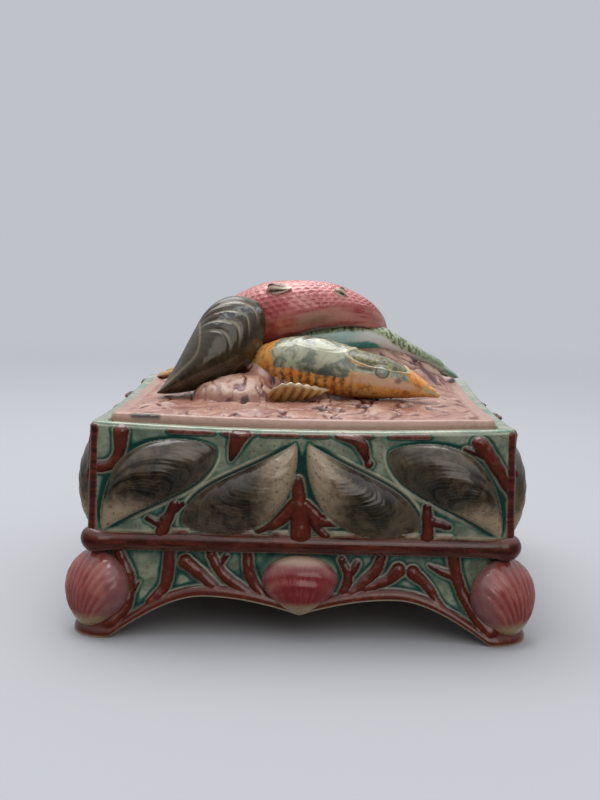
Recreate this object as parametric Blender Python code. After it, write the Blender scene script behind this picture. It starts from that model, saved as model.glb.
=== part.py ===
"""Square lidded box in majolica: mussels and coral on its walls, and a lid with a mussel and three fish.

Metres, +Z up. The box stands on z = 0, centred on the origin, and its front faces -Y.
"""

import math

import bmesh
import bpy
from mathutils import Matrix, Vector

# Body of the box
RIM_SIDE = 0.160
RIM_HEIGHT = 0.082
WALL_LEAN = 0.0012
WALL_THICKNESS = 0.0062
CORNER_RADIUS = 0.004
RIM_WALL = 0.0052
RIM_SOFTENING = 0.0009
FLOOR_TOP = 0.0400
FLOOR_THICKNESS = 0.0065
CAVITY_CORNER_RADIUS = 0.0045
CAVITY_FILLET = 0.004

# Ledge that carries the lid
LEDGE_DROP = 0.0055
LEDGE_WIDTH = 0.0036
LEDGE_HEIGHT = 0.0030
LEDGE_SLOPE = 0.0030

# Round moulding between the walls and the plinth
BAND_HEIGHT = 0.0363
BAND_DIAMETER = 0.0078
BAND_PROUD = 0.0025
BAND_KNOB_DIAMETER = 0.0104
CORNER_STRIP_DIAMETER = 0.0062
CORNER_STRIP_PROUD = 0.0006

# Flared plinth on its four feet
PLINTH_NECK_IN = 0.0022
PLINTH_FLARE = 0.0072
PLINTH_FLARE_POWER = 1.7
PLINTH_WALL = 0.0062
PLINTH_CORNER_RADIUS = 0.013
ARCH_CENTRE_HEIGHT = 0.0095
ARCH_TOP_HEIGHT = 0.0156
ARCH_TOP_ACROSS = 0.036
ARCH_FOOT_ACROSS = 0.068
ARCH_EDGE_DIAMETER = 0.0054
ARCH_POWER = 0.9

# Shells
MUSSEL_LENGTH = 0.0532
MUSSEL_BACK = 0.0178
MUSSEL_FRONT = 0.0062
MUSSEL_DOME = 0.0082
MUSSEL_SEAT = 0.0012
CLAM_HEIGHT = 0.0232
CLAM_HALF_WIDTH = 0.0145
CLAM_DOME = 0.0075
CLAM_LOW = 0.0088
COCKLE_HEIGHT = 0.0292
COCKLE_HALF_WIDTH = 0.0150
COCKLE_DOME = 0.0118
COCKLE_LOW = 0.0026
COCKLE_CENTRE_IN = -0.0005
COCKLE_LEAN = 4.0

# Swells as (skew, fullness), see lobe
MUSSEL_BACK_LOBE = (1.0, 0.7)
MUSSEL_FRONT_LOBE = (2.3, 0.6)
MUSSEL_DOME_LOBE = (0.85, 0.7)
FAN_LOBE = (1.3, 0.5)
FAN_DOME_LOBE = (0.85, 0.55)
FIN_LOBE = (2.0, 0.6)
LID_MUSSEL_BACK_LOBE = (2.1, 0.65)
LID_MUSSEL_FRONT_LOBE = (1.36, 0.6)
LID_MUSSEL_DOME_LOBE = (1.1, 0.6)

# Coral
CORAL_DIAMETER = 0.0060
CORAL_SINK = 0.0009

# Lid
LID_CLEARANCE = 0.0010
LID_SEAT_GAP = 0.0003
LID_EDGE_RISE = 0.0022
LID_BEAD = 0.0026
LID_BEAD_RISE = 0.0008
LID_THICKNESS = 0.0062
FLANGE_CLEARANCE = 0.0010
FLANGE_WIDTH = 0.0050
FLANGE_DEPTH = 0.0030
GROUND_CROWN = 0.0030
GROUND_ROUGHNESS = 0.0007
GROUND_CELLS = 9
GROUP_HEIGHT = 0.0498

# Facets
CORNER_STEPS = 2
CORAL_SIDES = 4
ARCH_STEPS = 7
PATH_STEPS = 1
PLINTH_ROWS = 3
MERGE_DISTANCE = 0.00001

# Heights and half sides that follow from the sizes above
RIM_HALF = RIM_SIDE / 2
LEDGE_TOP = RIM_HEIGHT - LEDGE_DROP
RECESS_HALF = RIM_HALF - RIM_WALL
THROAT_HALF = RECESS_HALF - LEDGE_WIDTH
CAVITY_HALF = RIM_HALF - WALL_THICKNESS
FLOOR_UNDERSIDE = FLOOR_TOP - FLOOR_THICKNESS
PLINTH_TOP = BAND_HEIGHT
PANEL_LOW = BAND_HEIGHT + BAND_DIAMETER / 2
PANEL_HEIGHT = RIM_HEIGHT - PANEL_LOW
SKIRT_HEIGHT = BAND_HEIGHT - BAND_DIAMETER / 2
LID_HALF = RECESS_HALF - LID_CLEARANCE
LID_CORNER_RADIUS = CAVITY_CORNER_RADIUS - LID_CLEARANCE
LID_UNDERSIDE = LEDGE_TOP + LID_SEAT_GAP
LID_EDGE_TOP = RIM_HEIGHT + LID_EDGE_RISE
LID_CEILING = LID_EDGE_TOP - LID_THICKNESS
CUT_MARGIN = 0.005

# Coral on a wall: rows of (across, up, thickness). Across runs from -1 to 1 between the corners, up from
# 0 at the moulding to 1 at the rim, and thickness is a share of the coral's diameter.
WALL_CORAL = (
    ((-1.00, 0.57, 0.8), (-0.90, 0.61, 0.9), (-0.860, 0.74, 0.9), (-0.854, 0.92, 1.2)),
    ((0.99, 0.40, 0.7), (0.90, 0.70, 1.0), (0.83, 0.88, 1.1)),
    ((-0.29, 0.94, 1.5), (-0.335, 0.68, 0.5)),
    ((0.18, 0.95, 1.0), (0.26, 0.88, 1.1), (0.31, 0.66, 0.7)),
    ((-0.66, 0.00, 1.0), (-0.60, 0.26, 0.7)),
    ((0.60, 0.00, 1.0), (0.595, 0.28, 0.7)),
    ((-0.018, 0.50, 0.8), (0.000, 0.02, 1.6)),
    ((-0.03, 0.28, 1.0), (-0.10, 0.13, 1.0), (-0.20, 0.04, 0.7)),
    ((0.02, 0.27, 1.0), (0.085, 0.15, 1.0), (0.17, 0.12, 0.7)),
)

# Coral on a side of the plinth: the same, with up from 0 at the floor to 1 under the moulding
PLINTH_CORAL = (
    ((-0.64, 0.99, 0.9), (-0.643, 0.59, 0.9), (-0.69, 0.41, 0.9)),
    ((-0.56, 0.87, 1.3), (-0.45, 0.68, 0.9), (-0.37, 0.50, 0.8)),
    ((-0.89, 0.96, 0.9), (-0.82, 0.65, 0.9), (-0.815, 0.34, 1.0), (-0.86, 0.18, 1.0)),
    ((-0.435, 0.96, 0.8), (-0.36, 0.71, 0.9), (-0.17, 0.43, 0.8)),
    ((-0.26, 0.98, 0.8), (-0.235, 0.70, 0.9), (-0.155, 0.45, 0.7)),
    ((0.205, 0.93, 0.7), (0.235, 0.72, 0.8), (0.195, 0.48, 0.7)),
    ((0.40, 0.98, 0.8), (0.36, 0.80, 0.9), (0.25, 0.55, 0.8)),
    ((0.48, 0.83, 1.2), (0.42, 0.71, 0.8), (0.32, 0.61, 0.8)),
    ((0.55, 0.80, 1.2), (0.61, 0.66, 0.8), (0.66, 0.42, 0.8)),
    ((0.745, 1.06, 0.9), (0.765, 0.68, 0.9), (0.82, 0.32, 1.0), (0.87, 0.17, 1.0)),
)

# Mussels on a wall: (tip across, tip up, turn in degrees, which side the back of the shell is on)
WALL_MUSSELS = (
    (-0.940, 0.005, 37.2, 1),
    (-0.032, 0.835, 217.2, 1),
    (0.032, 0.835, -37.2, -1),
    (0.940, 0.005, 142.8, -1),
)

# Fish on the lid: rows of (across, back, up, thickness). Across and back are shares of the lid's half
# side, up runs from 0 at the lid's edge to 1 at the top of the group, and thickness is a radius as a
# share of the group's height.
PINK_FISH = (
    (-0.68, 0.60, 0.10, 0.070), (-0.62, 0.53, 0.21, 0.150), (-0.52, 0.42, 0.37, 0.235),
    (-0.389, 0.298, 0.526, 0.290), (-0.222, 0.108, 0.659, 0.300), (-0.090, 0.027, 0.725, 0.268),
    (0.039, 0.000, 0.760, 0.238), (0.167, 0.014, 0.756, 0.201), (0.298, 0.068, 0.711, 0.154),
    (0.382, 0.163, 0.639, 0.121), (0.437, 0.325, 0.538, 0.100), (0.469, 0.500, 0.400, 0.082),
    (0.480, 0.620, 0.260, 0.070),
)
YELLOW_FISH = (
    (0.744, -0.450, 0.085, 0.025), (0.656, -0.447, 0.133, 0.082), (0.534, -0.440, 0.186, 0.147),
    (0.413, -0.427, 0.219, 0.186), (0.291, -0.407, 0.245, 0.208), (0.170, -0.379, 0.269, 0.231),
    (0.047, -0.346, 0.297, 0.245), (-0.078, -0.298, 0.307, 0.226), (-0.192, -0.217, 0.285, 0.185),
    (-0.320, -0.060, 0.235, 0.150), (-0.500, 0.140, 0.180, 0.130), (-0.690, 0.380, 0.130, 0.110),
    (-0.780, 0.530, 0.090, 0.070),
)
BLUE_FISH = (
    (-0.05, 0.05, 0.44, 0.13), (0.172, 0.054, 0.490, 0.125), (0.303, 0.108, 0.498, 0.122),
    (0.425, 0.190, 0.480, 0.112), (0.553, 0.298, 0.405, 0.083), (0.700, 0.434, 0.297, 0.063),
    (0.840, 0.590, 0.185, 0.052), (0.865, 0.660, 0.140, 0.045),
)

# Fins: root and tip as (across, back, up), the half width in metres, and how far the fin leans over to
# one side in degrees, from flat on the ground
FIN_HALF_THICKNESS = 0.0022
FINS = (
    ((0.82, 0.60, 0.18), (0.925, 0.930, 0.05), 0.0095, 20.0),
    ((-0.73, 0.44, 0.10), (-0.905, 0.86, 0.03), 0.0105, -15.0),
    ((0.47, 0.56, 0.30), (0.56, 0.84, 0.05), 0.0100, 30.0),
    ((0.13, -0.50, 0.12), (-0.22, -0.60, 0.06), 0.0060, 40.0),
    ((-0.09, -0.11, 0.93), (-0.24, -0.04, 0.86), 0.0045, 60.0),
    ((0.25, -0.03, 0.85), (0.15, -0.09, 0.90), 0.0034, 60.0),
)

# Rocks under the group: (across, back, up), and half sizes as shares of the same lengths
ROCKS = (
    ((0.00, -0.06, 0.00), (0.60, 0.40, 0.44)),
    ((-0.38, -0.38, 0.02), (0.26, 0.22, 0.20)),
    ((-0.34, 0.22, 0.02), (0.30, 0.30, 0.24)),
    ((0.36, 0.20, 0.02), (0.32, 0.30, 0.30)),
)

# The hollow under the group, in the same shares
GROUP_HOLLOW = ((0.00, -0.06, -0.12), (0.44, 0.27, 0.42))

# The mussel that leans on the fish: its tip, its far end, its half sizes and where its back faces
LID_MUSSEL_TIP = (-0.835, -0.42, 0.047)
LID_MUSSEL_END = (-0.270, -0.13, 0.783)
LID_MUSSEL_HALF_THICKNESS = 0.0115
LID_MUSSEL_BACK = 0.0126
LID_MUSSEL_FRONT = 0.0170
LID_MUSSEL_SIDE = (-1.0, 0.0, 1.0)


def clear_scene():
    """Remove the objects that the file opens with."""
    for thing in list(bpy.data.objects):
        bpy.data.objects.remove(thing, do_unlink=True)


def new_collection(name):
    """A collection linked to the scene."""
    group = bpy.data.collections.new(name)
    bpy.context.scene.collection.children.link(group)
    return group


def glaze(name, colour, roughness):
    """A glazed surface in one colour."""
    material = bpy.data.materials.new(name)
    material.use_nodes = True
    shader = material.node_tree.nodes["Principled BSDF"]
    shader.inputs["Base Color"].default_value = (*colour, 1.0)
    shader.inputs["Roughness"].default_value = roughness
    shader.inputs["Metallic"].default_value = 0.0
    material.diffuse_color = (*colour, 1.0)
    return material


def add_mesh(name, bm, group):
    """Put a mesh in a collection, outwards faces first made sure of."""
    bmesh.ops.recalc_face_normals(bm, faces=bm.faces[:])
    mesh = bpy.data.meshes.new(name)
    bm.to_mesh(mesh)
    bm.free()
    thing = bpy.data.objects.new(name, mesh)
    group.objects.link(thing)
    return thing


def as_guide(thing):
    """Mark a form that is only joined to a piece, or cut out of it."""
    thing.hide_render = True
    thing.display_type = "WIRE"
    return thing


def lobe(share, skew, fullness):
    """A smooth swell from 0 over 1 back to 0. Skew moves its widest place, fullness blunts its ends."""
    return math.sin(math.pi * min(max(share, 0.0), 1.0) ** skew) ** fullness


def stacked_block(name, levels, corner_radius, group):
    """A square solid with rounded corners, through rows of (height, half side), bottom row first."""
    (low, low_half), (high, high_half) = levels[:2]
    bm = bmesh.new()
    bmesh.ops.create_cube(bm, size=2.0)
    for vert in bm.verts:
        half, height = (high_half, high) if vert.co.z > 0 else (low_half, low)
        vert.co = Vector((vert.co.x * half, vert.co.y * half, height))
    middle = (low + high) / 2
    uprights = [edge for edge in bm.edges if min(v.co.z for v in edge.verts) < middle < max(
        v.co.z for v in edge.verts)]
    bmesh.ops.bevel(bm, geom=uprights, offset=corner_radius, segments=CORNER_STEPS, profile=0.5,
                    affect="EDGES")
    half_now = high_half
    top = max(bm.faces, key=lambda face: face.calc_center_median().z)
    for height, half in levels[2:]:
        grown = bmesh.ops.extrude_discrete_faces(bm, faces=[top])
        top = grown["faces"][0]
        for vert in top.verts:
            vert.co = Vector((vert.co.x * half / half_now, vert.co.y * half / half_now, height))
        half_now = half
    return add_mesh(name, bm, group)


def rounded_square(half, radius, height):
    """Points round a square with rounded corners."""
    centre = half - radius
    corner = [math.radians(90 * step / CORNER_STEPS) for step in range(CORNER_STEPS + 1)]
    return [turn @ Vector((centre + radius * math.sin(angle), -centre - radius * math.cos(angle), height))
            for turn in quarter_turns() for angle in corner]


def smooth_path(points, steps):
    """Points on a smooth curve through the given ones, with steps stretches between each two."""
    rows = [Vector(point) for point in points]
    rows = [rows[0] * 2 - rows[1]] + rows + [rows[-1] * 2 - rows[-2]]
    path = []
    for a, b, c, d in zip(rows, rows[1:], rows[2:], rows[3:]):
        for step in range(steps):
            t = step / steps
            path.append(0.5 * (2 * b + (c - a) * t + (2 * a - 5 * b + 4 * c - d) * t ** 2
                               + (3 * b - a - 3 * c + d) * t ** 3))
    path.append(rows[-2])
    return path


def curve_form(name, curve, place, group):
    """A curve's form as a closed mesh. Its caps are welded on."""
    route = bpy.data.objects.new(name + "_route", curve)
    group.objects.link(route)
    bpy.context.view_layer.update()
    mesh = bpy.data.meshes.new_from_object(route.evaluated_get(bpy.context.evaluated_depsgraph_get()))
    bpy.data.objects.remove(route)
    bm = bmesh.new()
    bm.from_mesh(mesh)
    bpy.data.meshes.remove(mesh)
    bmesh.ops.remove_doubles(bm, verts=bm.verts[:], dist=MERGE_DISTANCE)
    bmesh.ops.transform(bm, matrix=place, verts=bm.verts[:])
    return as_guide(add_mesh(name, bm, group))


def tube(name, points, radii, group, sides, closed=False):
    """A tube of changing radius along points, as a closed mesh."""
    curve = bpy.data.curves.new(name, "CURVE")
    curve.dimensions = "3D"
    curve.bevel_depth = 1.0
    curve.bevel_resolution = sides // 2 - 2
    curve.use_fill_caps = not closed
    spline = curve.splines.new("POLY")
    spline.points.add(len(points) - 1)
    spline.use_cyclic_u = closed
    for knot, place, radius in zip(spline.points, points, radii):
        knot.co = (*place, 1.0)
        knot.radius = radius
    return curve_form(name, curve, Matrix(), group)


def shell(name, length, back, front, dome, place, group, around=12, along=8, swell=MUSSEL_DOME_LOBE):
    """A closed shell form. Before it is placed its tip is at the origin and its length runs along +X,
    with the round back of the shell at +Y, the straight front at -Y, and its two domes at +Z and -Z."""
    bm = bmesh.new()
    bmesh.ops.create_uvsphere(bm, u_segments=around, v_segments=along, radius=1.0)
    for vert in bm.verts:
        share = (1.0 - vert.co.z) / 2
        ring = math.hypot(vert.co.x, vert.co.y)
        turn = Vector((vert.co.x, vert.co.y)) / ring if ring > 1e-6 else Vector((0.0, 0.0))
        upper = back(share)
        lower = front(share)
        vert.co = Vector((length * share, (upper - lower) / 2 + turn.x * (upper + lower) / 2,
                          turn.y * dome * lobe(share, *swell)))
    bmesh.ops.transform(bm, matrix=place, verts=bm.verts[:])
    return as_guide(add_mesh(name, bm, group))


def wall_mussel_back(share):
    """How far the round back of a wall mussel stands from its hinge line."""
    return MUSSEL_BACK * lobe(share, *MUSSEL_BACK_LOBE)


def wall_mussel_front(share):
    """How far the straight front of a wall mussel stands from its hinge line."""
    return MUSSEL_FRONT * lobe(share, *MUSSEL_FRONT_LOBE)


def lid_mussel_back(share):
    """The same for the round back of the lid's mussel."""
    return LID_MUSSEL_BACK * lobe(share, *LID_MUSSEL_BACK_LOBE)


def lid_mussel_front(share):
    """The same for the front of the lid's mussel."""
    return LID_MUSSEL_FRONT * lobe(share, *LID_MUSSEL_FRONT_LOBE)


def quarter_turns():
    """The four sides of the box, front first."""
    return [Matrix.Rotation(math.radians(90 * side), 4, "Z") for side in range(4)]


def wall_half(height):
    """Half the outside of the walls at a height."""
    return RIM_HALF + WALL_LEAN * (RIM_HEIGHT - height) / (RIM_HEIGHT - BAND_HEIGHT)


def plinth_half(height):
    """Half the outside of the plinth at a height."""
    drop = min(max(1.0 - height / PLINTH_TOP, 0.0), 1.0)
    return wall_half(BAND_HEIGHT) - PLINTH_NECK_IN + PLINTH_FLARE * drop ** PLINTH_FLARE_POWER


def arch_height(across):
    """Height of a plinth side's lower edge, at a distance from its middle."""
    if abs(across) < ARCH_TOP_ACROSS:
        share = math.sin(math.pi / 2 * abs(across) / ARCH_TOP_ACROSS)
        return ARCH_CENTRE_HEIGHT + (ARCH_TOP_HEIGHT - ARCH_CENTRE_HEIGHT) * share ** ARCH_POWER
    share = (abs(across) - ARCH_TOP_ACROSS) / (ARCH_FOOT_ACROSS - ARCH_TOP_ACROSS)
    return ARCH_TOP_HEIGHT * max(math.cos(math.pi / 2 * share), 0.0) ** ARCH_POWER


def arch_places():
    """Distances from the middle at which an arch is drawn, from one foot to the other."""
    half = [ARCH_FOOT_ACROSS * math.sin(math.pi / 2 * step / ARCH_STEPS) for step in range(ARCH_STEPS + 1)]
    return [-across for across in reversed(half[1:])] + half


def on_wall(across, up, proud):
    """A place on the front wall, from shares of its panel."""
    height = PANEL_LOW + up * PANEL_HEIGHT
    return Vector((across * RIM_HALF, -(wall_half(height) + proud), height))


def on_plinth(across, up, proud):
    """A place on the front of the plinth, from shares of its side."""
    height = up * SKIRT_HEIGHT
    return Vector((across * RIM_HALF, -(plinth_half(height) + proud), height))


def on_lid(across, back, up):
    """A place on the lid, from shares of its half side and of the group's height."""
    return Vector((across * LID_HALF, back * LID_HALF, LID_EDGE_TOP + up * GROUP_HEIGHT))


def box_blocks(group):
    """Walls and plinth as full blocks, hollowed later."""
    walls = ((PLINTH_TOP - BAND_DIAMETER / 4, wall_half(BAND_HEIGHT)),
             (RIM_HEIGHT - RIM_SOFTENING, wall_half(RIM_HEIGHT)),
             (RIM_HEIGHT, wall_half(RIM_HEIGHT) - RIM_SOFTENING))
    stacked_block("walls", walls, CORNER_RADIUS, group)
    heights = [PLINTH_TOP * row / PLINTH_ROWS for row in range(PLINTH_ROWS + 1)]
    plinth = [(height, plinth_half(height)) for height in heights]
    as_guide(stacked_block("plinth", plinth, PLINTH_CORNER_RADIUS, group))


def box_moulding(group):
    """Round moulding with a knob on each corner, and the strip that covers each upright corner."""
    half = wall_half(BAND_HEIGHT) + BAND_PROUD - BAND_DIAMETER / 2
    route = rounded_square(half, CORNER_RADIUS, BAND_HEIGHT)
    tube("moulding", route, [BAND_DIAMETER / 2] * len(route), group, 8, closed=True)
    for number, turn in enumerate(quarter_turns()):
        bm = bmesh.new()
        bmesh.ops.create_uvsphere(bm, u_segments=8, v_segments=5, radius=BAND_KNOB_DIAMETER / 2)
        bmesh.ops.translate(bm, verts=bm.verts[:], vec=turn @ Vector((half, -half, BAND_HEIGHT)))
        as_guide(add_mesh(f"knob_{number}", bm, group))
        inset = CORNER_STRIP_DIAMETER / 2 - CORNER_STRIP_PROUD
        ends = [Vector((wall_half(height) - inset, -(wall_half(height) - inset), height))
                for height in (BAND_HEIGHT, RIM_HEIGHT - RIM_SOFTENING)]
        tube(f"corner_strip_{number}", [turn @ end for end in ends], [CORNER_STRIP_DIAMETER / 2] * 2,
             group, 6)


def coral(name, rows, place, turn, group):
    """One branch of coral on a side of the box."""
    radii = [CORAL_DIAMETER / 2 * thickness for _, _, thickness in rows]
    points = [turn @ place(across, up, -CORAL_SINK) for across, up, _ in rows]
    return tube(name, points, radii, group, CORAL_SIDES)


def box_relief(group):
    """Mussels, coral and shells on the four sides and corners."""
    for number, turn in enumerate(quarter_turns()):
        for place, (across, up, angle, side) in enumerate(WALL_MUSSELS):
            seat = Matrix.Translation(on_wall(across, up, -MUSSEL_SEAT))
            swing = Matrix.Rotation(math.radians(-angle), 4, "Y")
            upright = Matrix.Rotation(math.radians(90), 4, "X")
            flip = Matrix.Diagonal((1.0, side, 1.0, 1.0))
            shell(f"mussel_{number}_{place}", MUSSEL_LENGTH, wall_mussel_back, wall_mussel_front,
                  MUSSEL_DOME, turn @ seat @ swing @ upright @ flip, group, around=8, along=6)
        for place, rows in enumerate(WALL_CORAL):
            coral(f"wall_coral_{number}_{place}", rows, on_wall, turn, group)
        for place, rows in enumerate(PLINTH_CORAL):
            coral(f"plinth_coral_{number}_{place}", rows, on_plinth, turn, group)
        edge = [turn @ Vector((across, -(plinth_half(arch_height(across)) - CORAL_SINK),
                               arch_height(across) + ARCH_EDGE_DIAMETER / 3)) for across in arch_places()]
        tube(f"arch_edge_{number}", edge, [ARCH_EDGE_DIAMETER / 2] * len(edge), group, CORAL_SIDES)
        upright_shell(f"clam_{number}", CLAM_HEIGHT, CLAM_HALF_WIDTH, CLAM_DOME,
                      turn @ Matrix.Translation((0.0, -plinth_half(CLAM_LOW + CLAM_HEIGHT / 2), CLAM_LOW)),
                      group)
        diagonal = plinth_half(COCKLE_LOW + COCKLE_HEIGHT / 2) - COCKLE_CENTRE_IN
        diagonal -= PLINTH_CORNER_RADIUS * (1 - math.sqrt(0.5))
        corner = Matrix.Translation((diagonal, -diagonal, COCKLE_LOW + COCKLE_HEIGHT / 2))
        swing = Matrix.Rotation(math.radians(45), 4, "Z") @ Matrix.Rotation(math.radians(-COCKLE_LEAN), 4, "X")
        upright_shell(f"cockle_{number}", COCKLE_HEIGHT, COCKLE_HALF_WIDTH, COCKLE_DOME, turn @ corner @ swing
                      @ Matrix.Translation((0.0, 0.0, -COCKLE_HEIGHT / 2)), group, around=12, along=7)


def upright_shell(name, height, half_width, dome, place, group, around=10, along=6):
    """A fan shell that stands on its hinge, its dome towards the front before it is placed."""
    stand = Matrix(((0, 1, 0, 0), (0, 0, -1, 0), (1, 0, 0, 0), (0, 0, 0, 1)))
    return shell(name, height, lambda share: half_width * lobe(share, *FAN_LOBE),
                 lambda share: half_width * lobe(share, *FAN_LOBE), dome, place @ stand, group, around,
                 along, FAN_DOME_LOBE)


def box_cutters(group):
    """Cavity with its ledge, hollow of the plinth, and the arches between the feet."""
    slope_low = LEDGE_TOP - LEDGE_HEIGHT - LEDGE_SLOPE
    cavity = ((FLOOR_TOP, CAVITY_HALF - CAVITY_FILLET), (FLOOR_TOP + CAVITY_FILLET / 3, CAVITY_HALF
              - CAVITY_FILLET / 3), (FLOOR_TOP + CAVITY_FILLET, CAVITY_HALF), (slope_low, CAVITY_HALF),
              (LEDGE_TOP - LEDGE_HEIGHT, THROAT_HALF), (LEDGE_TOP, THROAT_HALF), (LEDGE_TOP, RECESS_HALF),
              (RIM_HEIGHT + CUT_MARGIN, RECESS_HALF))
    as_guide(stacked_block("cavity", cavity, CAVITY_CORNER_RADIUS, group))
    heights = [-CUT_MARGIN] + [FLOOR_UNDERSIDE * row / PLINTH_ROWS for row in range(PLINTH_ROWS + 1)]
    hollow = [(height, plinth_half(max(height, 0.0)) - PLINTH_WALL) for height in heights]
    as_guide(stacked_block("plinth_hollow", hollow, PLINTH_CORNER_RADIUS - PLINTH_WALL / 2, group))
    for number, turn in enumerate(quarter_turns()[:2]):
        curve = bpy.data.curves.new(f"arch_{number}", "CURVE")
        curve.dimensions = "2D"
        curve.fill_mode = "BOTH"
        curve.extrude = plinth_half(0.0) + CUT_MARGIN
        outline = [(-ARCH_FOOT_ACROSS, -CUT_MARGIN)] + [(x, arch_height(x)) for x in arch_places()] + [
            (ARCH_FOOT_ACROSS, -CUT_MARGIN)]
        spline = curve.splines.new("POLY")
        spline.points.add(len(outline) - 1)
        spline.use_cyclic_u = True
        for knot, (across, height) in zip(spline.points, outline):
            knot.co = (across, height, 0.0, 1.0)
        curve_form(f"arch_{number}", curve, turn @ Matrix.Rotation(math.radians(90), 4, "X"), group)


def lid_plate(group):
    """Plate with its bead, and the flange that locates it in the throat."""
    flange_half = THROAT_HALF - FLANGE_CLEARANCE
    plate = ((LID_UNDERSIDE - FLANGE_DEPTH, flange_half), (LID_UNDERSIDE, flange_half),
             (LID_UNDERSIDE, LID_HALF), (LID_EDGE_TOP - LID_BEAD / 2, LID_HALF),
             (LID_EDGE_TOP + LID_BEAD_RISE / 2, LID_HALF - LID_BEAD * 0.3),
             (LID_EDGE_TOP + LID_BEAD_RISE, LID_HALF - LID_BEAD * 0.8),
             (LID_EDGE_TOP + LID_BEAD_RISE / 2, LID_HALF - LID_BEAD * 1.3),
             (LID_EDGE_TOP - LID_BEAD_RISE / 2, LID_HALF - LID_BEAD * 1.7))
    stacked_block("plate", plate, LID_CORNER_RADIUS, group)


def ground_height(across, back):
    """Height of the rocky ground, from shares of its half side."""
    crown = GROUND_CROWN * (1 - across ** 2) * (1 - back ** 2)
    waves = math.sin(9.1 * across + 3.3 * back) * math.cos(8.3 * back - 2.2 * across)
    waves += 0.6 * math.sin(17.0 * across * back + 5.0 * back)
    fade = max(1 - max(abs(across), abs(back)) ** 6, 0.0)
    return LID_EDGE_TOP + crown + GROUND_ROUGHNESS * waves * fade


def lid_ground(group):
    """Rocky ground that fills the plate inside its bead."""
    half = LID_HALF - LID_BEAD * 1.2
    bm = bmesh.new()
    bmesh.ops.create_grid(bm, x_segments=GROUND_CELLS, y_segments=GROUND_CELLS, size=1.0)
    sheet = bm.faces[:]
    grown = bmesh.ops.extrude_face_region(bm, geom=sheet, use_keep_orig=True)
    upper = {item for item in grown["geom"] if isinstance(item, bmesh.types.BMVert)}
    for vert in bm.verts:
        across, back = vert.co.x, vert.co.y
        height = ground_height(across, back) if vert in upper else LID_CEILING + LID_THICKNESS / 2
        vert.co = Vector((across * half, back * half, height))
    bmesh.ops.dissolve_limit(bm, angle_limit=math.radians(0.5), verts=[v for v in bm.verts if v not in upper],
                             edges=[e for e in bm.edges if not any(v in upper for v in e.verts)])
    as_guide(add_mesh("ground", bm, group))


def fish(name, rows, group, sides=9):
    """The body of a fish along its spine."""
    path = smooth_path([(*on_lid(*row[:3]), row[3] * GROUP_HEIGHT) for row in rows], PATH_STEPS)
    return tube(name, [knot[:3] for knot in path], [knot[3] for knot in path], group, sides)


def ellipsoid(name, centre, halves, group, around, along, bottom=-1.0):
    """A rounded lump on the lid, its half sizes as shares of the lid's half side and group's height,
    cut off flat at a height."""
    bm = bmesh.new()
    bmesh.ops.create_uvsphere(bm, u_segments=around, v_segments=along, radius=1.0)
    size = Matrix.Diagonal((halves[0] * LID_HALF, halves[1] * LID_HALF, halves[2] * GROUP_HEIGHT, 1.0))
    bmesh.ops.transform(bm, matrix=Matrix.Translation(on_lid(*centre)) @ size, verts=bm.verts[:])
    for vert in bm.verts:
        vert.co.z = max(vert.co.z, bottom)
    return as_guide(add_mesh(name, bm, group))


def facing(start, end, side):
    """A pose at start with +X towards end and +Y as near as it can be to a side."""
    x_axis = (end - start).normalized()
    z_axis = x_axis.cross(side).normalized()
    y_axis = z_axis.cross(x_axis)
    return Matrix.Translation(start) @ Matrix((x_axis, y_axis, z_axis)).transposed().to_4x4()


def fin(name, root, tip, half_width, lean, group):
    """A flat fin that widens from its root to a blunt end."""
    start, end = on_lid(*root), on_lid(*tip)
    level = Vector((0.0, 0.0, 1.0)).cross(end - start)
    pose = facing(start, end, level) @ Matrix.Rotation(math.radians(lean), 4, "X")
    return shell(name, (end - start).length, lambda share: half_width * lobe(share, *FIN_LOBE),
                 lambda share: half_width * lobe(share, *FIN_LOBE), FIN_HALF_THICKNESS, pose, group, 6, 5)


def lid_group(group):
    """Three fish, the mussel that leans on them, their fins and the rock below."""
    fish("pink_fish", PINK_FISH, group)
    fish("yellow_fish", YELLOW_FISH, group)
    fish("blue_fish", BLUE_FISH, group, sides=8)
    for number, (root, tip, half_width, lean) in enumerate(FINS):
        fin(f"fin_{number}", root, tip, half_width, lean, group)
    for number, (centre, halves) in enumerate(ROCKS):
        ellipsoid(f"rock_{number}", centre, halves, group, 8, 6, LID_EDGE_TOP - LID_BEAD)
    tip, end = on_lid(*LID_MUSSEL_TIP), on_lid(*LID_MUSSEL_END)
    shell("lid_mussel", (end - tip).length, lid_mussel_back, lid_mussel_front, LID_MUSSEL_HALF_THICKNESS,
          facing(tip, end, Vector(LID_MUSSEL_SIDE)), group, around=12, along=9, swell=LID_MUSSEL_DOME_LOBE)


def lid_cutters(group):
    """Recess in the underside, and the hollow below the group."""
    inner = THROAT_HALF - FLANGE_CLEARANCE - FLANGE_WIDTH
    recess = ((LID_UNDERSIDE - FLANGE_DEPTH - CUT_MARGIN, inner + LID_THICKNESS / 4), (LID_CEILING, inner))
    as_guide(stacked_block("underside", recess, LID_CORNER_RADIUS, group))
    centre, halves = GROUP_HOLLOW
    ellipsoid("group_hollow", centre, halves, group, 12, 6)


def combine(piece, group, operation, name):
    """Join a piece with the forms of a collection, or cut them out of it."""
    step = piece.modifiers.new(name, "BOOLEAN")
    step.operation = operation
    step.operand_type = "COLLECTION"
    step.collection = group
    step.solver = "EXACT"


def finish_piece(group, base_name, name, forms, cutters, material, parts):
    """Turn a base block into a named piece with its forms joined and its hollows cut."""
    piece = bpy.data.objects[base_name]
    group.objects.unlink(piece)
    parts.objects.link(piece)
    piece.name = name
    piece.data.name = name
    piece.data.materials.append(material)
    combine(piece, forms, "UNION", "relief")
    combine(piece, cutters, "DIFFERENCE", "hollows")
    return piece


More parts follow.
